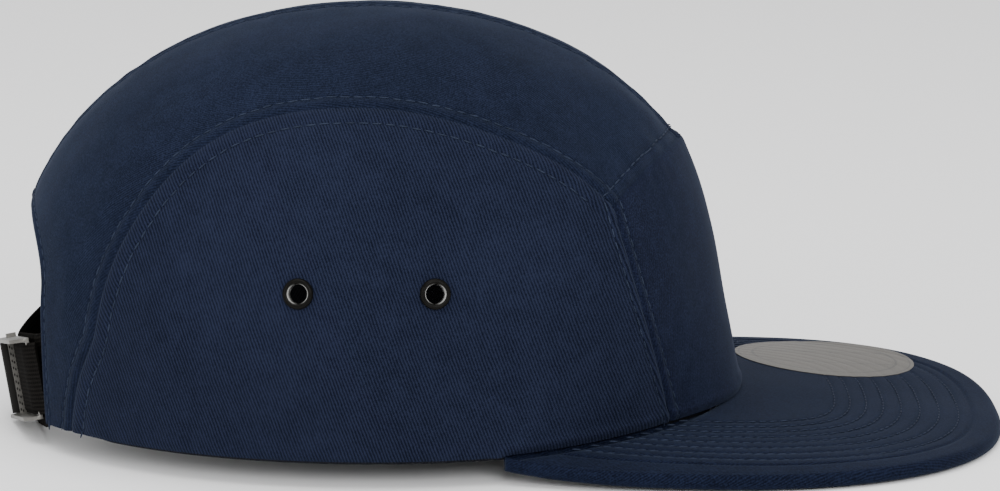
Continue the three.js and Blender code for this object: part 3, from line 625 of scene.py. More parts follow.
class Finish:
    """A material's nodes, with short ways to add to them."""

    def __init__(self, name):
        self.material = bpy.data.materials.new(name)
        self.material.use_nodes = True
        self.nodes = self.material.node_tree.nodes
        self.links = self.material.node_tree.links
        self.shader = self.nodes["Principled BSDF"]

    def space(self):
        return self.nodes.new("ShaderNodeTexCoord").outputs["Object"]

    def uv(self):
        node = self.nodes.new("ShaderNodeUVMap")
        node.uv_map = "cloth"
        return node.outputs[0]

    def feed(self, socket, value):
        """Gives a socket a colour, a number or another node's output."""
        if isinstance(value, tuple):
            socket.default_value = (*value, 1)
        elif isinstance(value, (int, float)):
            socket.default_value = value
        else:
            self.links.new(value, socket)

    def result(self, operation, a, b=0):
        node = self.nodes.new("ShaderNodeMath")
        node.operation = operation
        self.feed(node.inputs[0], a)
        self.feed(node.inputs[1], b)
        return node.outputs[0]

    def plus(self, a, b):
        return self.result("ADD", a, b)

    def times(self, a, b):
        return self.result("MULTIPLY", a, b)

    def parts(self, vector):
        node = self.nodes.new("ShaderNodeSeparateXYZ")
        self.links.new(vector, node.inputs[0])
        return node.outputs

    def mapped(self, vector, **values):
        node = self.nodes.new("ShaderNodeMapping")
        for name, value in values.items():
            node.inputs[name].default_value = value
        self.links.new(vector, node.inputs["Vector"])
        return node.outputs[0]

    def grain(self, vector, size, detail):
        """Noise whose features are about one size across, in millimetres."""
        node = self.nodes.new("ShaderNodeTexNoise")
        node.inputs["Scale"].default_value = 1 / (size * MM)
        node.inputs["Detail"].default_value = detail
        self.links.new(vector, node.inputs["Vector"])
        return node.outputs["Fac"]

    def bands(self, vector, angle, pitch, wobble, detail=2.0):
        """Even ribs of one pitch, turned by an angle in degrees, from 0 in the grooves to 1."""
        wave = self.nodes.new("ShaderNodeTexWave")
        wave.wave_type = "BANDS"
        wave.bands_direction = "X"
        wave.inputs["Scale"].default_value = WAVE_PERIOD / (pitch * MM)
        wave.inputs["Distortion"].default_value = wobble
        wave.inputs["Detail"].default_value = detail
        wave.inputs["Detail Scale"].default_value = 0.6
        turned = self.mapped(vector, Rotation=(0, 0, math.radians(angle)))
        self.links.new(turned, wave.inputs["Vector"])
        return wave.outputs["Fac"]

    def mixed(self, share, low, high):
        node = self.nodes.new("ShaderNodeMix")
        node.data_type = "RGBA"
        for number, value in ((0, share), (6, low), (7, high)):
            self.feed(node.inputs[number], value)
        return node.outputs[2]

    def ramp(self, shade, stops):
        node = self.nodes.new("ShaderNodeValToRGB")
        elements = node.color_ramp.elements
        while len(elements) < len(stops):
            elements.new(0.5)
        for element, (place, colour) in zip(elements, stops):
            element.position = place
            element.color = (*colour, 1)
        self.links.new(shade, node.inputs[0])
        return node.outputs[0]

    def bump(self, height, strength, depth):
        """Bumps of a depth in millimetres."""
        node = self.nodes.new("ShaderNodeBump")
        node.inputs["Strength"].default_value = strength
        node.inputs["Distance"].default_value = depth * MM
        self.links.new(height, node.inputs["Height"])
        self.links.new(node.outputs[0], self.shader.inputs["Normal"])

    def look(self, **inputs):
        """Sets the shader's inputs, named with _ for each space, and gives the material."""
        for name, value in inputs.items():
            self.feed(self.shader.inputs[name.replace("_", " ")], value)
        return self.material


# Twill: how its threads cross, and where its dark, middle and light shades stand
THREAD_ANGLE = 62
THREAD_SHARE = 0.55
TWILL_SHADES = (0.28, 0.49, 0.7)
SHEEN_TINT = (0.45, 0.58, 0.85)


def twill(name, dark, light, angle, pitch, rib_depth=0.14, rib_share=1.0, flecks=0.75):
    """Cotton twill: slanted ribs broken by the crossing threads, with a faint bloom."""
    made = Finish(name)
    uv, space = made.uv(), made.space()
    ribs = made.bands(uv, angle, pitch, 1.6, 3.0)
    threads = made.bands(uv, angle + THREAD_ANGLE, pitch * THREAD_SHARE, 1.2)
    weave = made.times(ribs, made.plus(made.times(threads, 0.4), 0.6))
    fuzz = made.grain(space, 0.45, 4)
    slub = made.grain(space, 5, 3)
    patches = made.grain(space, 38, 4)
    height = made.plus(made.times(weave, rib_share), made.times(fuzz, 0.6))
    clouds = made.times(made.plus(slub, patches), 0.2)
    specks = made.result("SUBTRACT", made.grain(space, 0.6 * max(flecks, 0.8), 2), 0.5)
    uneven = made.plus(clouds, made.times(specks, flecks))
    middle = tuple((a + b) / 2 for a, b in zip(dark, light))
    colour = made.ramp(made.plus(made.times(height, 0.42), uneven),
                       list(zip(TWILL_SHADES, (dark, middle, light))))
    made.bump(height, 0.55, rib_depth)
    return made.look(Base_Color=colour, Roughness=0.9, Specular_IOR_Level=0.06, Sheen_Weight=0.05,
                     Sheen_Roughness=0.45, Sheen_Tint=SHEEN_TINT)


def thread_material(name, dark, light):
    """Twisted sewing thread."""
    made = Finish(name)
    space = made.space()
    strands = made.grain(space, 0.35, 3)
    along = made.grain(space, 9, 2)
    shade = made.plus(made.times(strands, 0.6), made.times(along, 0.4))
    made.bump(strands, 0.5, 0.08)
    return made.look(Base_Color=made.ramp(shade, [(0.35, dark), (0.7, light)]), Roughness=0.7,
                     Specular_IOR_Level=0.12)


WEB_RIB = 1.15
WEB_COLOURS = [(0.15, (0.0016, 0.0014, 0.0011)), (0.7, (0.0058, 0.005, 0.0044)),
               (1.0, (0.013, 0.0115, 0.01))]


def webbing_material():
    """Black woven webbing: fine ribs along it, crossed by the weft."""
    made = Finish("black webbing")
    uv = made.uv()
    woven = made.times(made.bands(uv, 90, WEB_RIB, 0.25), made.bands(uv, 0, 0.62, 0.4))
    height = made.plus(woven, made.times(made.grain(made.space(), 0.3, 3), 0.3))
    made.bump(height, 0.7, 0.2)
    return made.look(Base_Color=made.ramp(height, WEB_COLOURS), Roughness=0.85,
                     Specular_IOR_Level=0.03)


SCRATCH_SIZE = 0.9 * 0.35


def metal_material(name, dark, light, roughness, metallic, gloss=0.3):
    """Plated or lacquered metal with fine scratches and slight wear."""
    made = Finish(name)
    space = made.space()
    scratches = made.grain(made.mapped(space, Scale=(1, 1, 0.15)), SCRATCH_SIZE, 4)
    stains = made.grain(space, 3.5, 4)
    rough = made.plus(roughness - 0.1, made.times(made.plus(scratches, stains), 0.13))
    made.bump(scratches, 0.25, 0.04)
    return made.look(Base_Color=made.mixed(made.times(stains, 0.9), dark, light), Roughness=rough,
                     Metallic=metallic, Specular_IOR_Level=gloss)


PLATING_DARK = (0.0016, 0.0016, 0.0014)
PLATING_LIGHT = (0.0065, 0.0062, 0.0055)
# Pale metal painted on the eyelets' inner lip as a highlight
LIP_HIGHLIGHT_METAL = (0.62, 0.62, 0.6)


def ring_material():
    """Black plated eyelet, with a painted highlight at the sides of its inner lip."""
    made = Finish("black nickel")
    parts = made.parts(made.uv())
    stains = made.grain(made.space(), 0.8, 4)
    # Painted highlight: pale metal on the inner lip, strongest at its left and right sides
    lip_highlight = made.times(made.times(parts["X"], parts["Y"]), made.plus(stains, 0.5))
    plating = made.mixed(stains, PLATING_DARK, PLATING_LIGHT)
    made.bump(stains, 0.2, 0.04)
    return made.look(Base_Color=made.mixed(lip_highlight, plating, LIP_HIGHLIGHT_METAL), Metallic=made.times(lip_highlight, 0.6),
                     Roughness=0.3, Specular_IOR_Level=0.04)


# Sticker: its printed ring and bar, as shares of its radius, and its shades
INNER_RING = 0.8
OUTER_RING = 0.955
BAR_HALF = 0.3
FOIL_DARK = (0.07, 0.064, 0.056)
FOIL_LIGHT = (0.1, 0.092, 0.081)
PRINT_SHADE = (0.035, 0.034, 0.033)


def foil_material():
    """Satin silver sticker: two darker rings near its edge and a plain bar across its middle."""
    made = Finish("silver sticker")
    uv = made.uv()
    length = made.nodes.new("ShaderNodeVectorMath")
    length.operation = "LENGTH"
    made.links.new(uv, length.inputs[0])
    away = length.outputs["Value"]
    outer = STICKER_DIAMETER / 2 * MM

    def near(value, place, width):
        gap = made.result("ABSOLUTE", made.result("SUBTRACT", value, outer * place))
        return made.result("LESS_THAN", gap, outer * width)

    bar_edge = made.result("ABSOLUTE", made.parts(uv)["Y"])
    inside = made.result("LESS_THAN", away, outer * INNER_RING)
    bar_line = made.times(near(bar_edge, BAR_HALF, 0.012), inside)
    printed = made.result("MAXIMUM", near(away, INNER_RING, 0.014), bar_line)
    printed = made.result("MAXIMUM", printed, near(away, OUTER_RING, 0.008))
    space = made.space()
    grain = made.grain(space, 0.6, 4)
    foil = made.mixed(made.grain(space, 14, 3), FOIL_DARK, FOIL_LIGHT)
    made.bump(grain, 0.2, 0.05)
    return made.look(Base_Color=made.mixed(made.times(printed, 0.75), foil, PRINT_SHADE),
                     Roughness=made.plus(0.36, made.times(grain, 0.16)), Metallic=0.55)


# Name, darkest and lightest shade, the ribs' angle and pitch, then their depth and share, and flecks
CROWN_TWILL = twill("navy crown twill", (0.0013, 0.0024, 0.0072), (0.0114, 0.0153, 0.0338), -19, 0.82,
                    flecks=0.45)
TOP_TWILL = twill("navy top twill", (0.002, 0.0036, 0.0096), (0.0108, 0.0154, 0.0345), 84, 0.72,
                  0.1, 0.6)
FRONT_TWILL = twill("navy front twill", (0.0026, 0.004, 0.0112), (0.012, 0.0166, 0.04), 24, 0.8,
                    0.06, 0.25)
PEAK_TWILL = twill("navy peak twill", (0.0012, 0.0022, 0.0072), (0.0066, 0.0102, 0.0255), 60, 0.7,
                   0.1, 0.7, 1.0)
BAND_TWILL = twill("dark band cotton", (0.004, 0.0042, 0.006), (0.02, 0.021, 0.026), 35, 0.8, 0.08)
NAVY_THREAD = thread_material("navy thread", (0.006, 0.0095, 0.02), (0.021, 0.029, 0.054))
BLACK_THREAD = thread_material("black thread", (0.006, 0.006, 0.006), (0.02, 0.02, 0.02))
WEBBING = webbing_material()
NICKEL = metal_material("satin nickel", (0.06, 0.058, 0.053), (0.22, 0.213, 0.198), 0.4, 0.85)
BLACK_LACQUER = metal_material("black lacquer", (0.005, 0.005, 0.0045), (0.012, 0.0112, 0.0104),
                               0.5, 0.1, gloss=0.06)
BLACK_NICKEL = ring_material()
FOIL = foil_material()


# Crown panels

WAVE_SIZE = 34
WAVE_DEPTH = 0.75


def panel_relief(points, seams, seed, pucker=0.14):
    """All that makes a panel's cloth stand in or out: its seams and its slow waves."""
    relief = np.zeros(points.shape[:-1])
    nearest = np.full(points.shape[:-1], 1e9)
    for number, (path, row, depth) in enumerate(seams):
        relief += seam_relief(points, path, row, seed * 10 + number, depth, pucker)
        nearest = np.minimum(nearest, path_distance(points, path[::6])[0])
    waves = soft_waves(points, WAVE_SIZE, WAVE_DEPTH, seed) * smooth_step(nearest, 2, 16)
    return relief, waves


def crown_wall(name, node, points, relief, uv, material):
    out = outward(points)
    outer = points + out * relief[..., None]
    inner = points - out * (CLOTH - 0.25 + np.minimum(-relief, 0) * 0.4)[..., None]
    obj = wall_piece(name, outer, inner, material, uv)
    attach(obj, "cap")
    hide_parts(node)
    return obj


def pierce(obj, spot, radius):
    """Opens a round hole through a piece of cloth."""
    axis = Vector(outward(spot).tolist())
    middle = Vector(((spot + SHIFT) * MM).tolist())
    work = bmesh.new()
    work.from_mesh(obj.data)

    def inside(vertex):
        away = vertex.co - middle
        along = away.dot(axis)
        return abs(along) < 5 * MM and (away - along * axis).length < radius * MM

    gone = [face for face in work.faces if any(inside(vertex) for vertex in face.verts)]
    bmesh.ops.delete(work, geom=gone, context="FACES")
    work.to_mesh(obj.data)
    work.free()


SIDES = ((-1, "right"), (1, "left"))
SEAM_SHARES = np.linspace(0, 1, 260)
ROW_SHARES = np.linspace(0, 1, 420)
SEAM_DEPTH = 0.5
RIM_DEPTH = 0.3
RIM_ROLL = 0.45
HEM_DEPTH = 0.35


def rim_at(x, side):
    p = crown_at(x, RIM_Z, side)
    return crown_at(x, rim_height(x, p[:, 1]), side)


def rim_line(side, x_from, x_to):
    return rim_at(np.linspace(x_from, x_to, 200), side)


def rim_roll(points, rim):
    """The rim's cloth standing out a little where it meets the peak."""
    away = path_distance(points, rim)[0]
    return RIM_ROLL * hump(away, 2.2, 1.4)


def side_panel(side, name):
    rear_foot = arc_seam(0, side)[0]

    def bottom(u):
        x = rear_foot + (FRONT_SEAM_FOOT_X - rear_foot) * (0.5 - 0.5 * np.cos(math.pi * u))
        return rim_at(x, side)

    u = fine_edges(190, 1.0)
    v = fine_edges(105, 1.0)
    points = on_crown(stretched(
        bottom, lambda t: arc_seam(ARC_SPLIT + (1 - ARC_SPLIT) * t, side),
        lambda t: arc_seam(ARC_SPLIT * t, side), lambda t: front_seam(t, side), u, v))
    seams = [(arc_seam(SEAM_SHARES, side), ARC_ROW_BELOW, SEAM_DEPTH),
             (front_seam(SEAM_SHARES, side), FRONT_ROW, SEAM_DEPTH),
             (rim_line(side, rear_foot, FRONT_SEAM_FOOT_X), None, RIM_DEPTH)]
    relief, waves = panel_relief(points, seams, 3 + side)
    relief += rim_roll(points, rim_line(side, PEAK_CORNER_X, FRONT_SEAM_FOOT_X))
    pressed, free = eyelet_relief(points, side)
    uv = np.stack([points[..., 0], run_lengths(points, 1)], -1)
    obj = crown_wall(f"{name}_side_cloth", f"side_panel_{name}", points,
                     relief + waves * free + pressed, uv, CROWN_TWILL)
    for _, x in EYELET_PLACES:
        pierce(obj, eyelet_spot(x, side), EYELET_HOLE / 2)
    return obj


def cloth_uv(points):
    """Texture places by the length along a grid's columns and rows."""
    return np.stack([run_lengths(points, 0), run_lengths(points, 1)], -1)


def top_panel(side, name):
    u = fine_edges(245)
    v = fine_edges(72)
    flat = stretched(centre_seam, lambda t: arc_seam(t, side), lambda t: opening_edge(1 - t, side),
                     lambda t: cross_seam(t, side), u, v)
    near_front = smooth_step(u, TOP_FLATTENS_FROM, 1)[:, None, None]
    points = on_crown(flat) * (1 - near_front) + flat * near_front
    edge = opening_edge(np.linspace(RIM_SHARE, 1, 160), side)
    seams = [(arc_seam(SEAM_SHARES, side), ARC_ROW, SEAM_DEPTH),
             (centre_seam(SEAM_SHARES), FRONT_ROW, SEAM_DEPTH),
             (cross_seam(SEAM_SHARES, side), CROSS_ROW, SEAM_DEPTH),
             (edge, OPENING_ROW, HEM_DEPTH)]
    relief, waves = panel_relief(points, seams, 7 + side)
    return crown_wall(f"{name}_top_cloth", f"top_panel_{name}", points, relief + waves,
                      cloth_uv(points), TOP_TWILL)


def front_points(u, v):
    foot = front_seam(0, 1)

    def bottom(t):
        y = (2 * t - 1) * foot[1]
        x = FRONT_FOOT_X - (FRONT_FOOT_X - foot[0]) * np.abs(2 * t - 1) ** FRONT_FOOT_ROUNDNESS
        return vec(x, y, rim_height(x, y))

    def top(t):
        left, right = cross_seam(np.abs(2 * t - 1), 1), cross_seam(np.abs(2 * t - 1), -1)
        return np.where((t >= 0.5)[:, None], left, right)

    points = stretched(bottom, top, lambda t: front_seam(t, -1), lambda t: front_seam(t, 1), u, v)
    across = 1 - (2 * u - 1) ** 2
    lean = read_table(FRONT_LEAN, v) - v
    points[..., 0] -= (FRONT_FOOT_X - FRONT_TOP_X) * lean[None, :] * across[:, None]
    return points


def front_panel():
    points = front_points(fine_edges(125, 1.3), fine_edges(76, 1.3))
    seams = [(seam(SEAM_SHARES, side), row, SEAM_DEPTH)
             for seam, row in ((front_seam, FRONT_ROW), (cross_seam, None)) for side in (-1, 1)]
    seams.append((points[:, 0], None, RIM_DEPTH))
    relief, waves = panel_relief(points, seams, 11, 0.05)
    relief += rim_roll(points, points[:, 0])
    return crown_wall("front_cloth", "front_panel", points, relief + waves * 0.7, cloth_uv(points),
                      FRONT_TWILL)


PANELS = {}
for side_sign, side_name in SIDES:
    PANELS["side", side_sign] = side_panel(side_sign, side_name)
    PANELS["top", side_sign] = top_panel(side_sign, side_name)
PANELS["front", 0] = front_panel()


def crown_stitches():
    """Rows of stitches on both sides of each crown seam and round the rear opening."""
    trees = {key: surface_of(panel) for key, panel in PANELS.items()}
    rows = []
    for side, _ in SIDES:
        arc = arc_seam(ROW_SHARES[:-6], side)
        below = vec(0, side * CROWN_HALF_WIDTH, 20)
        ahead = vec(200, 0, 60)
        above = vec(0, 0, 90)
        front = front_seam(ROW_SHARES, side)
        cross = cross_seam(ROW_SHARES[26:], side)
        centre = centre_seam(ROW_SHARES[:-12])
        edge = opening_edge(np.linspace(RIM_SHARE, 1, 200), side)
        over_top = unit(np.cross(outward(arc), np.gradient(arc, axis=0)))
        over_top *= np.sign(over_top[:, 1:2] * -side)
        outer = vec(0, side * 300, 100)
        beside = vec(-40, side * 90, 90)
        rows.append(row_beside(arc, over_top, ARC_ROW, trees["top", side]))
        rows.append(row_beside(arc[:-8], -over_top[:-8], ARC_ROW_BELOW, trees["side", side]))
        for path, towards, offset, panel in (
                (front, below, FRONT_ROW, ("side", side)), (front, ahead, FRONT_ROW, ("front", 0)),
                (cross, above, CROSS_ROW, ("top", side)), (centre, outer, FRONT_ROW, ("top", side)),
                (edge, beside, OPENING_ROW, ("top", side))):
            rows.append(row_beside(path, across_seam(path, towards), offset, trees[panel]))
    stitches = sewn("crown_stitches", rows, NAVY_THREAD)
    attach(stitches, "cap")


crown_stitches()


# Peak

def peak_outline(t):
    side = np.where(t < 0.5, -1, 1)
    away = np.abs(2 * t - 1)
    angle = np.minimum(away / PEAK_FRONT_SHARE, 1) * math.pi / 2
    cosine = np.maximum(np.cos(angle), 0)
    tip = vec(PEAK_WIDEST_X + (PEAK_TIP_X - PEAK_WIDEST_X) * cosine ** (2 / PEAK_ROUNDNESS),
              side * PEAK_HALF_WIDTH * np.sin(angle) ** (2 / PEAK_ROUNDNESS), 0)
    s = np.clip((away - PEAK_FRONT_SHARE) / (1 - PEAK_FRONT_SHARE), 0, 1)
    corner = crown_at(PEAK_CORNER_X, RIM_Z, 1)[1] + PEAK_CORNER_OVERHANG
    flank = vec(PEAK_WIDEST_X + (PEAK_CORNER_X - PEAK_WIDEST_X) * s,
                side * (PEAK_HALF_WIDTH + (corner - PEAK_HALF_WIDTH) * s ** PEAK_SIDE_CURVE), 0)
    return np.where((away <= PEAK_FRONT_SHARE)[..., None], tip, flank)


def peak_root(t):
    foot = front_seam(0, 1)
    side = np.where(t < 0.5, -1, 1)
    away = np.abs(2 * t - 1)
    near = np.minimum(away / PEAK_ROOT_SHARE, 1)
    front = vec(FRONT_FOOT_X - (FRONT_FOOT_X - foot[0]) * near ** FRONT_FOOT_ROUNDNESS,
                side * near * foot[1], RIM_Z)
    x = foot[0] + (PEAK_CORNER_X - foot[0]) * np.clip((away - PEAK_ROOT_SHARE) / (1 - PEAK_ROOT_SHARE), 0, 1)
    flank = crown_at(x, RIM_Z, side)
    p = np.where((away <= PEAK_ROOT_SHARE)[..., None], front, flank)
    return p - outward(raised(p, 0)) * CLOTH


BAND_GROOVE = 0.42
PEAK_ROW_GROOVE = 0.26
ROOT_GROOVE = 1.3


def row_spread(x):
    """How far apart the peak's rows run, closer together along its flanks than at its tip."""
    return 0.74 + 0.31 * smooth_step(x, 75, 165)


def peak_relief(away, x):
    """Cloth on the board, by distance from the peak's edge: a band, a groove and quilted rows."""
    relief = -BAND_GROOVE * hump(away, PEAK_BAND, 0.55)
    relief += 0.1 * (1 - smooth_step(away, PEAK_BAND - 1.5, PEAK_BAND))
    for row in range(PEAK_ROWS):
        place = PEAK_FIRST_ROW + row * PEAK_ROW_SPACING * row_spread(x)
        relief -= PEAK_ROW_GROOVE * hump(away, place, 0.75)
    return relief


def peak():
    t = np.linspace(0, 1, 321)
    root, edge = peak_root(t), peak_outline(t)
    reach = np.linalg.norm((edge - root)[:, :2], axis=1)
    ahead = (edge - root)[:, :2] / reach[:, None]
    radius = PEAK_THICKNESS / 2
    end = np.maximum(reach - radius, reach * 0.4)
    outline = peak_outline(np.linspace(0, 1, 500))[:, :2]
    across = np.linspace(0, 1, 118)
    turns = np.linspace(0, 1, 13)[1:-1]

    def flat_at(run):
        return root[:, None, :2] + ahead[:, None, :] * run[..., None]

    def face(run, up):
        xy = flat_at(run)
        away = path_distance(xy, outline)[0]
        lift = peak_relief(away, xy[..., 0]) * smooth_step(away, 1.2, 3)
        if up > 0:
            clear = (crown_share(raised(xy, RIM_Z)) - 1) * CROWN_HALF_LENGTH
            lift = lift - ROOT_GROOVE * hump(clear, 0, 2.0)
        return raised(xy, peak_top(xy[..., 0], xy[..., 1]) - radius + up * (radius + lift))

    top = face(end[:, None] * across, 1)
    under = face(end[:, None] * across[::-1], -1)
    angle = math.pi / 2 - math.pi * turns
    run = end[:, None] + (reach - end)[:, None] * np.cos(angle)
    xy = flat_at(run)
    rim = raised(xy, peak_top(xy[..., 0], xy[..., 1]) - radius + radius * np.sin(angle))
    points = np.concatenate([top, rim, under], axis=1)
    points[..., 2] += soft_waves(points, 45, 0.3, 21) * smooth_step(points[..., 2], 0.5, 4)
    points[..., 2] = np.maximum(points[..., 2], 0)
    runs = run_lengths(points, 1)
    uv = root[:, None, :2] + ahead[:, None, :] * runs[..., None]
    columns, rows = points.shape[:2]
    index = np.arange(columns * rows).reshape(columns, rows)
    around = np.concatenate([index, index[:, :1]], axis=1)
    faces = quads(around)
    half = rows // 2
    low = np.arange(half)
    caps = [np.stack([ring[low], ring[low + 1], ring[rows - 2 - low], ring[rows - 1 - low]], -1)
            for ring in (index[0], index[-1][::-1])]
    caps = [cap[cap[:, 1] != cap[:, 2]] for cap in caps]
    obj = new_piece("peak_cloth", points.reshape(-1, 3), np.concatenate([faces, *caps]), PEAK_TWILL,
                    uv.reshape(-1, 2))
    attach(obj, "cap")
    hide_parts("peak")


peak()


STITCH_SUNK = 0.16
STITCH_LOWEST = 0.25
CLEAR_OF_CROWN = 1.012


def peak_stitches():
    """Rows of stitches through the peak, parallel to its edge, where it stands clear of the crown."""
    outline = peak_outline(np.linspace(0, 1, 900))[:, :2]
    ahead = unit(np.gradient(outline, axis=0))
    inward = np.stack([-ahead[:, 1], ahead[:, 0]], -1)
    if inward[len(inward) // 2, 0] > 0:
        inward = -inward
    rows = []
    for row in range(PEAK_ROWS):
        away = np.full(len(outline), PEAK_FIRST_ROW)
        for _ in range(8):
            xy = outline + inward * away[:, None]
            away = PEAK_FIRST_ROW + row * PEAK_ROW_SPACING * row_spread(xy[:, 0])
        clear = crown_share(raised(xy, RIM_Z)) > CLEAR_OF_CROWN
        clear &= path_distance(xy, outline[::3])[0] > away - 0.4
        xy = xy[clear]
        for up in (1, -1):
            z = peak_top(xy[:, 0], xy[:, 1]) + (-STITCH_SUNK if up > 0 else STITCH_SUNK - PEAK_THICKNESS)
            rows.append((raised(xy, np.maximum(z, STITCH_LOWEST)), vec(0, 0, up) + np.zeros((len(xy), 3))))
    stitches = sewn("peak_stitches", rows, NAVY_THREAD, STITCH_PITCH * 0.9, STITCH_LENGTH * 0.88,
                    THREAD * 0.9)
    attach(stitches, "cap")


peak_stitches()


# Sweatband

def inside_wall(angle, z, inset):
    p = on_crown(vec(CROWN_HALF_LENGTH * np.cos(angle), CROWN_HALF_WIDTH * np.sin(angle), z))
    q = p - outward(raised(p, 0)) * np.asarray(inset)[..., None]
    q[..., 2] = z
    return q


def rear_angle(y):
    return math.pi - np.arcsin(y / CROWN_HALF_WIDTH)


BAND_ROW = 5
BAND_ROUND = 560
GATHERS = 0.16


def sweatband():
    start = rear_angle(OPENING_HALF_WIDTH + SEAM_GAP)
    strap_end = rear_angle(OPENING_HALF_WIDTH + STRAP_TUCK)
    u = np.linspace(0, 1, 420)[:, None]
    v = np.linspace(0, 1, 34)[None, :]
    angle = start * (1 - 2 * u) + 0 * v
    behind = 1 - smooth_step(strap_end - np.abs(angle), -0.02, 0.12)
    ahead = np.maximum(np.cos(angle), 0) ** 4
    along = u * BAND_ROUND + 0 * v
    hem = hump((v - 0.02) * BAND_HEIGHT, 0, 1.0) + hump((1 - v) * BAND_HEIGHT, 0, 1.0)
    row = hump(v * BAND_HEIGHT, BAND_ROW, 0.6)
    gathers = GATHERS * ripple(along, 5, 9, 30) * smooth_step(v, 0.1, 0.5)
    free = smooth_step(strap_end - np.abs(angle), 0.0, 0.25)
    inset = (CLOTH + BAND_EASE + (STRAP_THICKNESS + FIT_GAP) * behind + BAND_LEAN * ahead * v
             + 0.3 * hem + 0.12 * row + (gathers + GATHERS) * free)
    z = RIM_Z - BAND_SHOWS + BAND_HEIGHT * v + 0 * u
    outer = inside_wall(angle, z, inset)
    inner = inside_wall(angle, z, inset + BAND_THICKNESS - 0.5 * hem - 0.3 * row)
    uv = np.stack([along, z], -1)
    obj = wall_piece("sweatband_cloth", outer, inner, BAND_TWILL, uv)
    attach(obj, "cap")
    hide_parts("sweatband")
    tree = surface_of(obj)
    rows = []
    for height in (BAND_ROW, BAND_HEIGHT - 2.5):
        angles = np.linspace(start * 0.985, -start * 0.985, 900)
        line = inside_wall(angles, np.full(900, RIM_Z - BAND_SHOWS + height), np.full(900, 9.0))
        rows.append(row_beside(line, line * 0, 0, tree, 0.05))
    stitches = sewn("sweatband_stitches", rows, BLACK_THREAD)
    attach(stitches, "cap")


sweatband()


# Strap

def strap_free(y, share):
    s = np.minimum((y / OPENING_HALF_WIDTH) ** 2, 1)
    edge = inside_wall(rear_angle(OPENING_HALF_WIDTH), RIM_Z + STRAP_WIDTH / 2, CLOTH + STRAP_EASE)
    lean = np.radians(STRAP_LEAN + (STRAP_EDGE_LEAN - STRAP_LEAN) * s)
    up = STRAP_WIDTH * share
    x = edge[0] - STRAP_BULGE * (1 - s) - (up - STRAP_WIDTH / 2) * np.sin(lean) * (1 - s * s)
    return vec(x, y, STRAP_DROP * s - STRAP_PRESSED + up * np.cos(lean))


# Webbing: heights of its ribs and weft, the weft's pitch, and its rounded edges
RIB_HEIGHT = 0.09
WEFT_HEIGHT = 0.05
WEFT_PITCH = 1.3
EDGE_ROUNDING = 0.42
EDGE_WIDTH = 0.7
WEB_INSET = 0.14
CLIP_ENDS = (-CLIP_FROM_MIDDLE - CLIP_LENGTH / 2, -CLIP_FROM_MIDDLE + CLIP_LENGTH / 2)


def strap_edge(y, share):
    """Outer face of the strap at a width: sewn under the crown, level under the clip, else free."""
    y, share = np.broadcast_arrays(np.asarray(y, dtype=float), share)
    held = strap_free(np.full(y.shape, OPENING_HALF_WIDTH), share)[..., 2]
    width = np.clip(np.abs(y), OPENING_HALF_WIDTH, None)
    tucked = inside_wall(rear_angle(width), held, np.full(y.shape, CLOTH + STRAP_EASE))
    tucked[..., 1] *= np.sign(y)
    low, high = CLIP_ENDS
    t = ((y - low) / (high - low))[..., None]
    level = (strap_free(np.full(y.shape, low), share) * (1 - t)
             + strap_free(np.full(y.shape, high), share) * t)
    p = np.where(((y > low) & (y < high))[..., None], level, strap_free(y, share))
    return np.where((np.abs(y) > OPENING_HALF_WIDTH)[..., None], tucked, p)


def strap_length(name, node, start, end, columns):
    y = np.linspace(start, end, columns)[:, None]
    v = np.linspace(0, 1, 57)[None, :]
    p = strap_edge(y, v)
    along = strap_edge(y + 0.5, v) - strap_edge(y - 0.5, v)
    across = strap_edge(y, np.ones_like(v)) - strap_edge(y, np.zeros_like(v))
    out = unit(np.cross(along, across))
    ribs = RIB_HEIGHT * np.cos(2 * math.pi * v * STRAP_WIDTH / WEB_RIB) + 0 * y
    run = run_lengths(p, 0)
    weft = WEFT_HEIGHT * np.cos(2 * math.pi * run / WEFT_PITCH)
    edge = np.minimum(v, 1 - v) * STRAP_WIDTH
    rounding = EDGE_ROUNDING * hump(edge, 0, EDGE_WIDTH)
    depth = (WEB_INSET + rounding - ribs - weft)[..., None]
    outer = p + out * depth
    inner = p + out * (STRAP_THICKNESS - depth)
    for face in (outer, inner):
        face[..., 2] = np.maximum(face[..., 2], 0)
    uv = np.stack([run, v * STRAP_WIDTH + 0 * y], -1)
    obj = wall_piece(name, outer, inner, WEBBING, uv)
    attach(obj, "cap")
    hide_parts(node)


STRAP_END = OPENING_HALF_WIDTH + STRAP_TUCK
STRAP_MEET = CLIP_ENDS[0] + CLIP_BAR
strap_length("right_webbing", "strap_right", -STRAP_END, STRAP_MEET - SEAM_GAP / 2, 80)
strap_length("left_webbing", "strap_left", STRAP_MEET + SEAM_GAP / 2, STRAP_END, 230)


# Clip

def softened(node, name, material, width, body="cap"):
    """A solid's own shape with its hard edges eased."""
    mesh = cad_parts[node].data.copy()
    mesh.name = name
    work = bmesh.new()
    work.from_mesh(mesh)
    bmesh.ops.remove_doubles(work, verts=work.verts, dist=1e-6)
    bmesh.ops.dissolve_limit(work, angle_limit=math.radians(3), verts=work.verts, edges=work.edges)
    work.to_mesh(mesh)
    work.free()
    mesh.materials.clear()
    mesh.materials.append(material)
    obj = in_scene(name, mesh)
    bevel = obj.modifiers.new("ease", "BEVEL")
    bevel.width = width * MM
    bevel.segments = 3
    bevel.limit_method = "ANGLE"
    bevel.angle_limit = math.radians(25)
    bevel.harden_normals = False
    depsgraph = bpy.context.evaluated_depsgraph_get()
    eased = bpy.data.meshes.new_from_object(obj.evaluated_get(depsgraph))
    obj.modifiers.clear()
    obj.data = eased
    eased.shade_smooth()
    eased.set_sharp_from_angle(angle=math.radians(35))
    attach(obj, body)
    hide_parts(node)


softened("clip_frame", "clip_body", NICKEL, 0.16)
softened("clip_pin", "clip_axle", NICKEL, 0.2)
softened("clip_lever", "clip_thumb_plate", BLACK_LACQUER, 0.25, "lever")


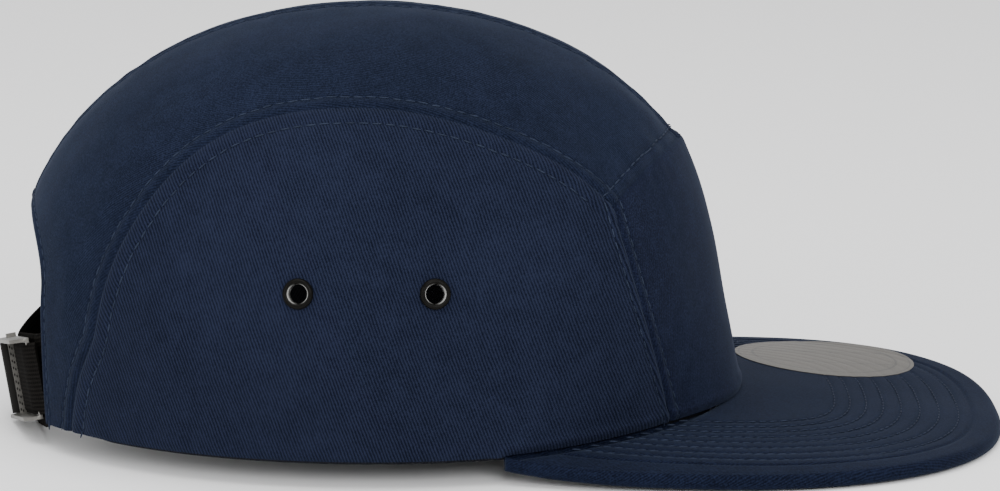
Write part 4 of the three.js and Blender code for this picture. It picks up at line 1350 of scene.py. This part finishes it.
def clip_place():
    """Where the clip sits: its middle, and its directions to the right, up and out."""
    low, high = CLIP_ENDS
    right = unit(strap_edge(low, 0.5) - strap_edge(high, 0.5))
    rise = unit(strap_edge(-CLIP_FROM_MIDDLE, 1) - strap_edge(-CLIP_FROM_MIDDLE, 0))
    out = unit(np.cross(right, rise))
    return strap_edge(-CLIP_FROM_MIDDLE, 0.5 + CLIP_RISE / STRAP_WIDTH), right, np.cross(out, right), out


FOLD_FROM = -CLIP_LENGTH / 2 + 3.4
FOLD_TO = CLIP_LENGTH / 2 + 5
FOLD_THICKNESS = 0.55
FOLD_RIB_HEIGHT = 0.08
FOLD_WEFTS = 22
FOLD_ROUNDING = 0.4
FOLD_GAP = 0.1
FOLD_PROFILE = [(0, -0.1), (0.05, 0.1), (0.5, 0.15), (0.72, 0.05), (1, -2.2)]
COMB_RISE = 3.7
COMB_HALF = 12.2
COMB_LIFT = 0.4
COMB_SKIN = 0.02
# Painted shade for the comb's dents, as small black pieces: their count, pitch, start, half length and half
# width, and corners
DENTS = 11
DENT_PITCH = 2
DENT_START = 9.8
DENT_HALF_LENGTH = 0.42
DENT_HALF_WIDTH = 0.2
DENT_CORNERS = 8


def webbing_fold():
    """The strap's end turned back over the clip's frame, from its comb towards the crown."""
    middle, right, up, out = clip_place()
    half = CLIP_HEIGHT / 2 - CLIP_SHEET - FIT_GAP
    u = np.linspace(0, 1, 90)[:, None]
    v = np.linspace(0, 1, 49)[None, :]
    edge = np.minimum(v, 1 - v) * 2 * half
    ribs = (FOLD_RIB_HEIGHT * np.cos(2 * math.pi * v * 2 * half / WEB_RIB)
            + WEFT_HEIGHT * np.cos(2 * math.pi * u * FOLD_WEFTS))
    lift = CLIP_SEAT + CLIP_SHEET + FOLD_GAP + read_table(FOLD_PROFILE, u) + 0 * v
    top = lift + FOLD_THICKNESS + ribs - FOLD_ROUNDING * hump(edge, 0, EDGE_WIDTH)
    x = FOLD_FROM + (FOLD_TO - FOLD_FROM) * u + 0 * v
    y = (2 * v - 1) * half + 0 * u

    def placed(z):
        p = middle + x[..., None] * right + y[..., None] * up + z[..., None] * out
        p[..., 2] = np.maximum(p[..., 2], 0.3)
        return p

    uv = np.stack([x, y], -1)
    obj = wall_piece("webbing_fold", placed(top), placed(lift), WEBBING, uv)
    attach(obj, "cap")


webbing_fold()


def comb():
    """The clip's upright comb, with two rows of small black pieces along its face as painted shade for its
    dents.
    """
    middle, right, up, out = clip_place()
    left = -CLIP_LENGTH / 2 - COMB_SKIN
    face = left + CLIP_SHEET + 2 * COMB_SKIN
    corners = [(left + a * (CLIP_SHEET + 2 * COMB_SKIN), b * COMB_HALF + COMB_LIFT,
                CLIP_SEAT + c * (COMB_RISE - CLIP_SEAT))
               for a in (0, 1) for b in (-1, 1) for c in (0, 1)]
    points = np.array([middle + x * right + y * up + z * out for x, y, z in corners])
    faces = [(0, 1, 3, 2), (4, 6, 7, 5), (0, 4, 5, 1), (2, 3, 7, 6), (0, 2, 6, 4), (1, 5, 7, 3)]
    plate = new_piece("comb", points, faces, NICKEL)
    points = []
    faces = []
    turn = np.linspace(0, 2 * math.pi, DENT_CORNERS, endpoint=False)
    for row, z in enumerate((COMB_RISE - 0.92, COMB_RISE - 0.36)):
        for step in range(DENTS):
            centre = middle + face * right + z * out
            centre = centre + (step * DENT_PITCH - DENT_START + 0.5 * row) * up
            first = len(points)
            for lift in (0.05, -0.2):
                points += [centre + DENT_HALF_LENGTH * math.cos(a) * up
                           + DENT_HALF_WIDTH * math.sin(a) * out + lift * right for a in turn]
            back = first + DENT_CORNERS
            for k in range(DENT_CORNERS):
                ahead = (k + 1) % DENT_CORNERS
                faces += [(first + k, back + k, back + ahead), (first + k, back + ahead, first + ahead)]
            for k in range(1, DENT_CORNERS - 1):
                faces += [(first, first + k, first + k + 1), (back, back + k + 1, back + k)]
    # Black pieces a little proud of the comb's face: painted shade where its dents would be
    dent_shades = new_piece("comb_dent_shades", np.array(points), faces, BLACK_LACQUER)
    for obj in (plate, dent_shades):
        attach(obj, "cap")


comb()


# Eyelets

RING_FLARE = 0.15
RING_DOME = 1.15
LIP_POINTS = 17
RING_STEPS = 72


def eyelet(side, side_name, end, x):
    """A rolled ring with a rounded lip, painted highlight at its sides, and a barrel through the cloth."""
    spot = eyelet_spot(x, side)
    out = outward(spot)
    outer, hole = EYELET_OUTER / 2 + RING_FLARE, EYELET_HOLE / 2 - 0.1
    base = FIT_GAP - 0.1
    lip = [(math.cos(a) * (outer - hole) / 2 + (outer + hole) / 2,
            base + EYELET_FLANGE * RING_DOME * math.sin(a))
           for a in np.linspace(0, math.pi, LIP_POINTS)]
    back = -CLOTH - 2 * FIT_GAP
    profile = lip + [(hole, back - 0.4), (outer - 0.5, back - 0.4), (outer - 0.4, back - 0.2),
                     (outer - 0.5, back), (hole + 0.45, back), (hole + 0.45, base)]
    turn = np.array(Vector((0, 0, 1)).rotation_difference(Vector(out.tolist())).to_matrix())
    angle = np.linspace(0, 2 * math.pi, RING_STEPS, endpoint=False)
    rings = np.array([[(r * math.cos(a), r * math.sin(a), z) for r, z in profile] for a in angle])
    points = rings @ turn.T + spot
    count = len(profile)
    index = np.arange(RING_STEPS * count).reshape(RING_STEPS, count)
    faces = quads(np.pad(index, ((0, 1), (0, 1)), mode="wrap"))
    inner_lip = np.zeros(count)
    inner_lip[LIP_POINTS - 6:LIP_POINTS] = (0.0, 0.5, 1.0, 1.0, 0.8, 0.3)
    # Where the painted highlight falls: on the inner lip, towards its left and right sides
    lip_highlight = np.stack(np.broadcast_arrays(inner_lip[None, :], np.cos(angle)[:, None] ** 2), -1) / MM
    obj = new_piece(f"ring_{side_name}_{end}", points.reshape(-1, 3), faces, BLACK_NICKEL,
                    lip_highlight.reshape(-1, 2))
    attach(obj, "cap")
    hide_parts(f"eyelet_{side_name}_{end}")


for side_sign, side_name in SIDES:
    for end_name, eyelet_x in EYELET_PLACES:
        eyelet(side_sign, side_name, end_name, eyelet_x)


# Sticker

STICKER_STEPS = 180
STICKER_TURN = 0.15
STICKER_DRAPE = 0.3
STICKER_CURL = 0.06
STICKER_GAP = 0.08


def sticker():
    """A thin round label lying on the stitched peak, its edge very slightly lifted."""
    radii = np.concatenate([np.linspace(0.001, 0.97, 40), [0.985, 1.0]]) * STICKER_DIAMETER / 2
    angle = np.linspace(0, 2 * math.pi, STICKER_STEPS, endpoint=False)
    x = FRONT_FOOT_X + STICKER_AHEAD + radii[None, :] * np.cos(angle)[:, None]
    y = STICKER_SIDE + radii[None, :] * np.sin(angle)[:, None]
    outline = peak_outline(np.linspace(0, 1, 400))[:, :2]
    away = path_distance(np.stack([x, y], -1), outline)[0]
    drape = peak_relief(away, x) * STICKER_DRAPE
    waves = (1 + 0.6 * np.sin(3 * angle + 0.7))[:, None]
    lift = STICKER_CURL * (radii / radii[-1])[None, :] ** 6 * waves
    z = peak_top(x, y) + drape + lift + STICKER_GAP
    upper = vec(x, y, z + STICKER_THICKNESS * 0.4)
    lower = vec(x, y, z)
    count = len(radii)
    index = np.arange(2 * STICKER_STEPS * count).reshape(2, STICKER_STEPS, count)
    index = np.concatenate([index, index[:, :1]], axis=1)
    faces = [quads(a) for a in index]
    faces[1] = faces[1][:, ::-1]
    for ring, flip in ((-1, False), (0, True)):
        upper_ring, lower_ring = index[0][:, ring], index[1][:, ring]
        strip = np.stack([upper_ring[:-1], upper_ring[1:], lower_ring[1:], lower_ring[:-1]], -1)
        faces.append(strip if flip else strip[:, ::-1])
    dx, dy = x - FRONT_FOOT_X - STICKER_AHEAD, y - STICKER_SIDE
    cosine, sine = math.cos(STICKER_TURN), math.sin(STICKER_TURN)
    turned = np.stack([dx * cosine + dy * sine, -dx * sine + dy * cosine], -1)
    obj = new_piece("round_sticker", np.concatenate([upper.reshape(-1, 3), lower.reshape(-1, 3)]),
                    np.concatenate(faces), FOIL, np.tile(turned.reshape(-1, 2), (2, 1)))
    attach(obj, "cap")
    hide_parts("peak_sticker")


sticker()


# Floor, light and camera

FLOOR_HALF = 6.0
LIGHTS_AIM = (0, 0, 0.05)


def floor():
    mesh = bpy.data.meshes.new("floor")
    corners = [(x * FLOOR_HALF, y * FLOOR_HALF, 0) for x, y in ((-1, -1), (1, -1), (1, 1), (-1, 1))]
    mesh.from_pydata(corners, [], [(0, 1, 2, 3)])
    material = Finish("pale floor").look(Base_Color=(0.93, 0.93, 0.935), Roughness=0.7,
                                         Specular_IOR_Level=0.2)
    mesh.materials.append(material)
    obj = in_scene("floor", mesh)


def area_light(name, place, size, power):
    light = bpy.data.lights.new(name, "AREA")
    light.shape = "RECTANGLE"
    light.size, light.size_y = size
    light.energy = power
    obj = in_scene(name, light)
    obj.location = place
    obj.rotation_euler = (Vector(LIGHTS_AIM) - Vector(place)).to_track_quat("-Z", "Y").to_euler()


def studio():
    world = bpy.data.worlds.new("studio")
    world.use_nodes = True
    background = world.node_tree.nodes["Background"]
    background.inputs["Color"].default_value = (1, 1, 1, 1)
    background.inputs["Strength"].default_value = 1.0
    bpy.context.scene.world = world
    area_light("overhead", (-0.1, -0.2, 1.3), (1.2, 1.0), 14)
    area_light("front", (0.35, -1.4, 0.75), (0.9, 0.6), 16)
    area_light("left", (-1.1, -0.9, 0.5), (0.35, 0.8), 6)


EYE = (0.98, -1164.4, 298.1)
AIM = (0.98, 10.1, 48.3)
FOCAL_PIXELS = 4200
FRAME_PIXELS = 1000
SENSOR = 36
ROLL = -0.22


def camera():
    data = bpy.data.cameras.new("camera")
    data.sensor_width = SENSOR
    data.lens = SENSOR * FOCAL_PIXELS / FRAME_PIXELS
    data.clip_start = 0.05
    obj = in_scene("camera", data)
    eye, aim = Vector(EYE) * MM, Vector(AIM) * MM
    turn = (aim - eye).to_track_quat("-Z", "Y").to_matrix().to_4x4()
    roll = Matrix.Rotation(math.radians(ROLL), 4, "Z")
    obj.matrix_world = Matrix.Translation(eye) @ turn @ roll
    bpy.context.scene.camera = obj


floor()
studio()
camera()
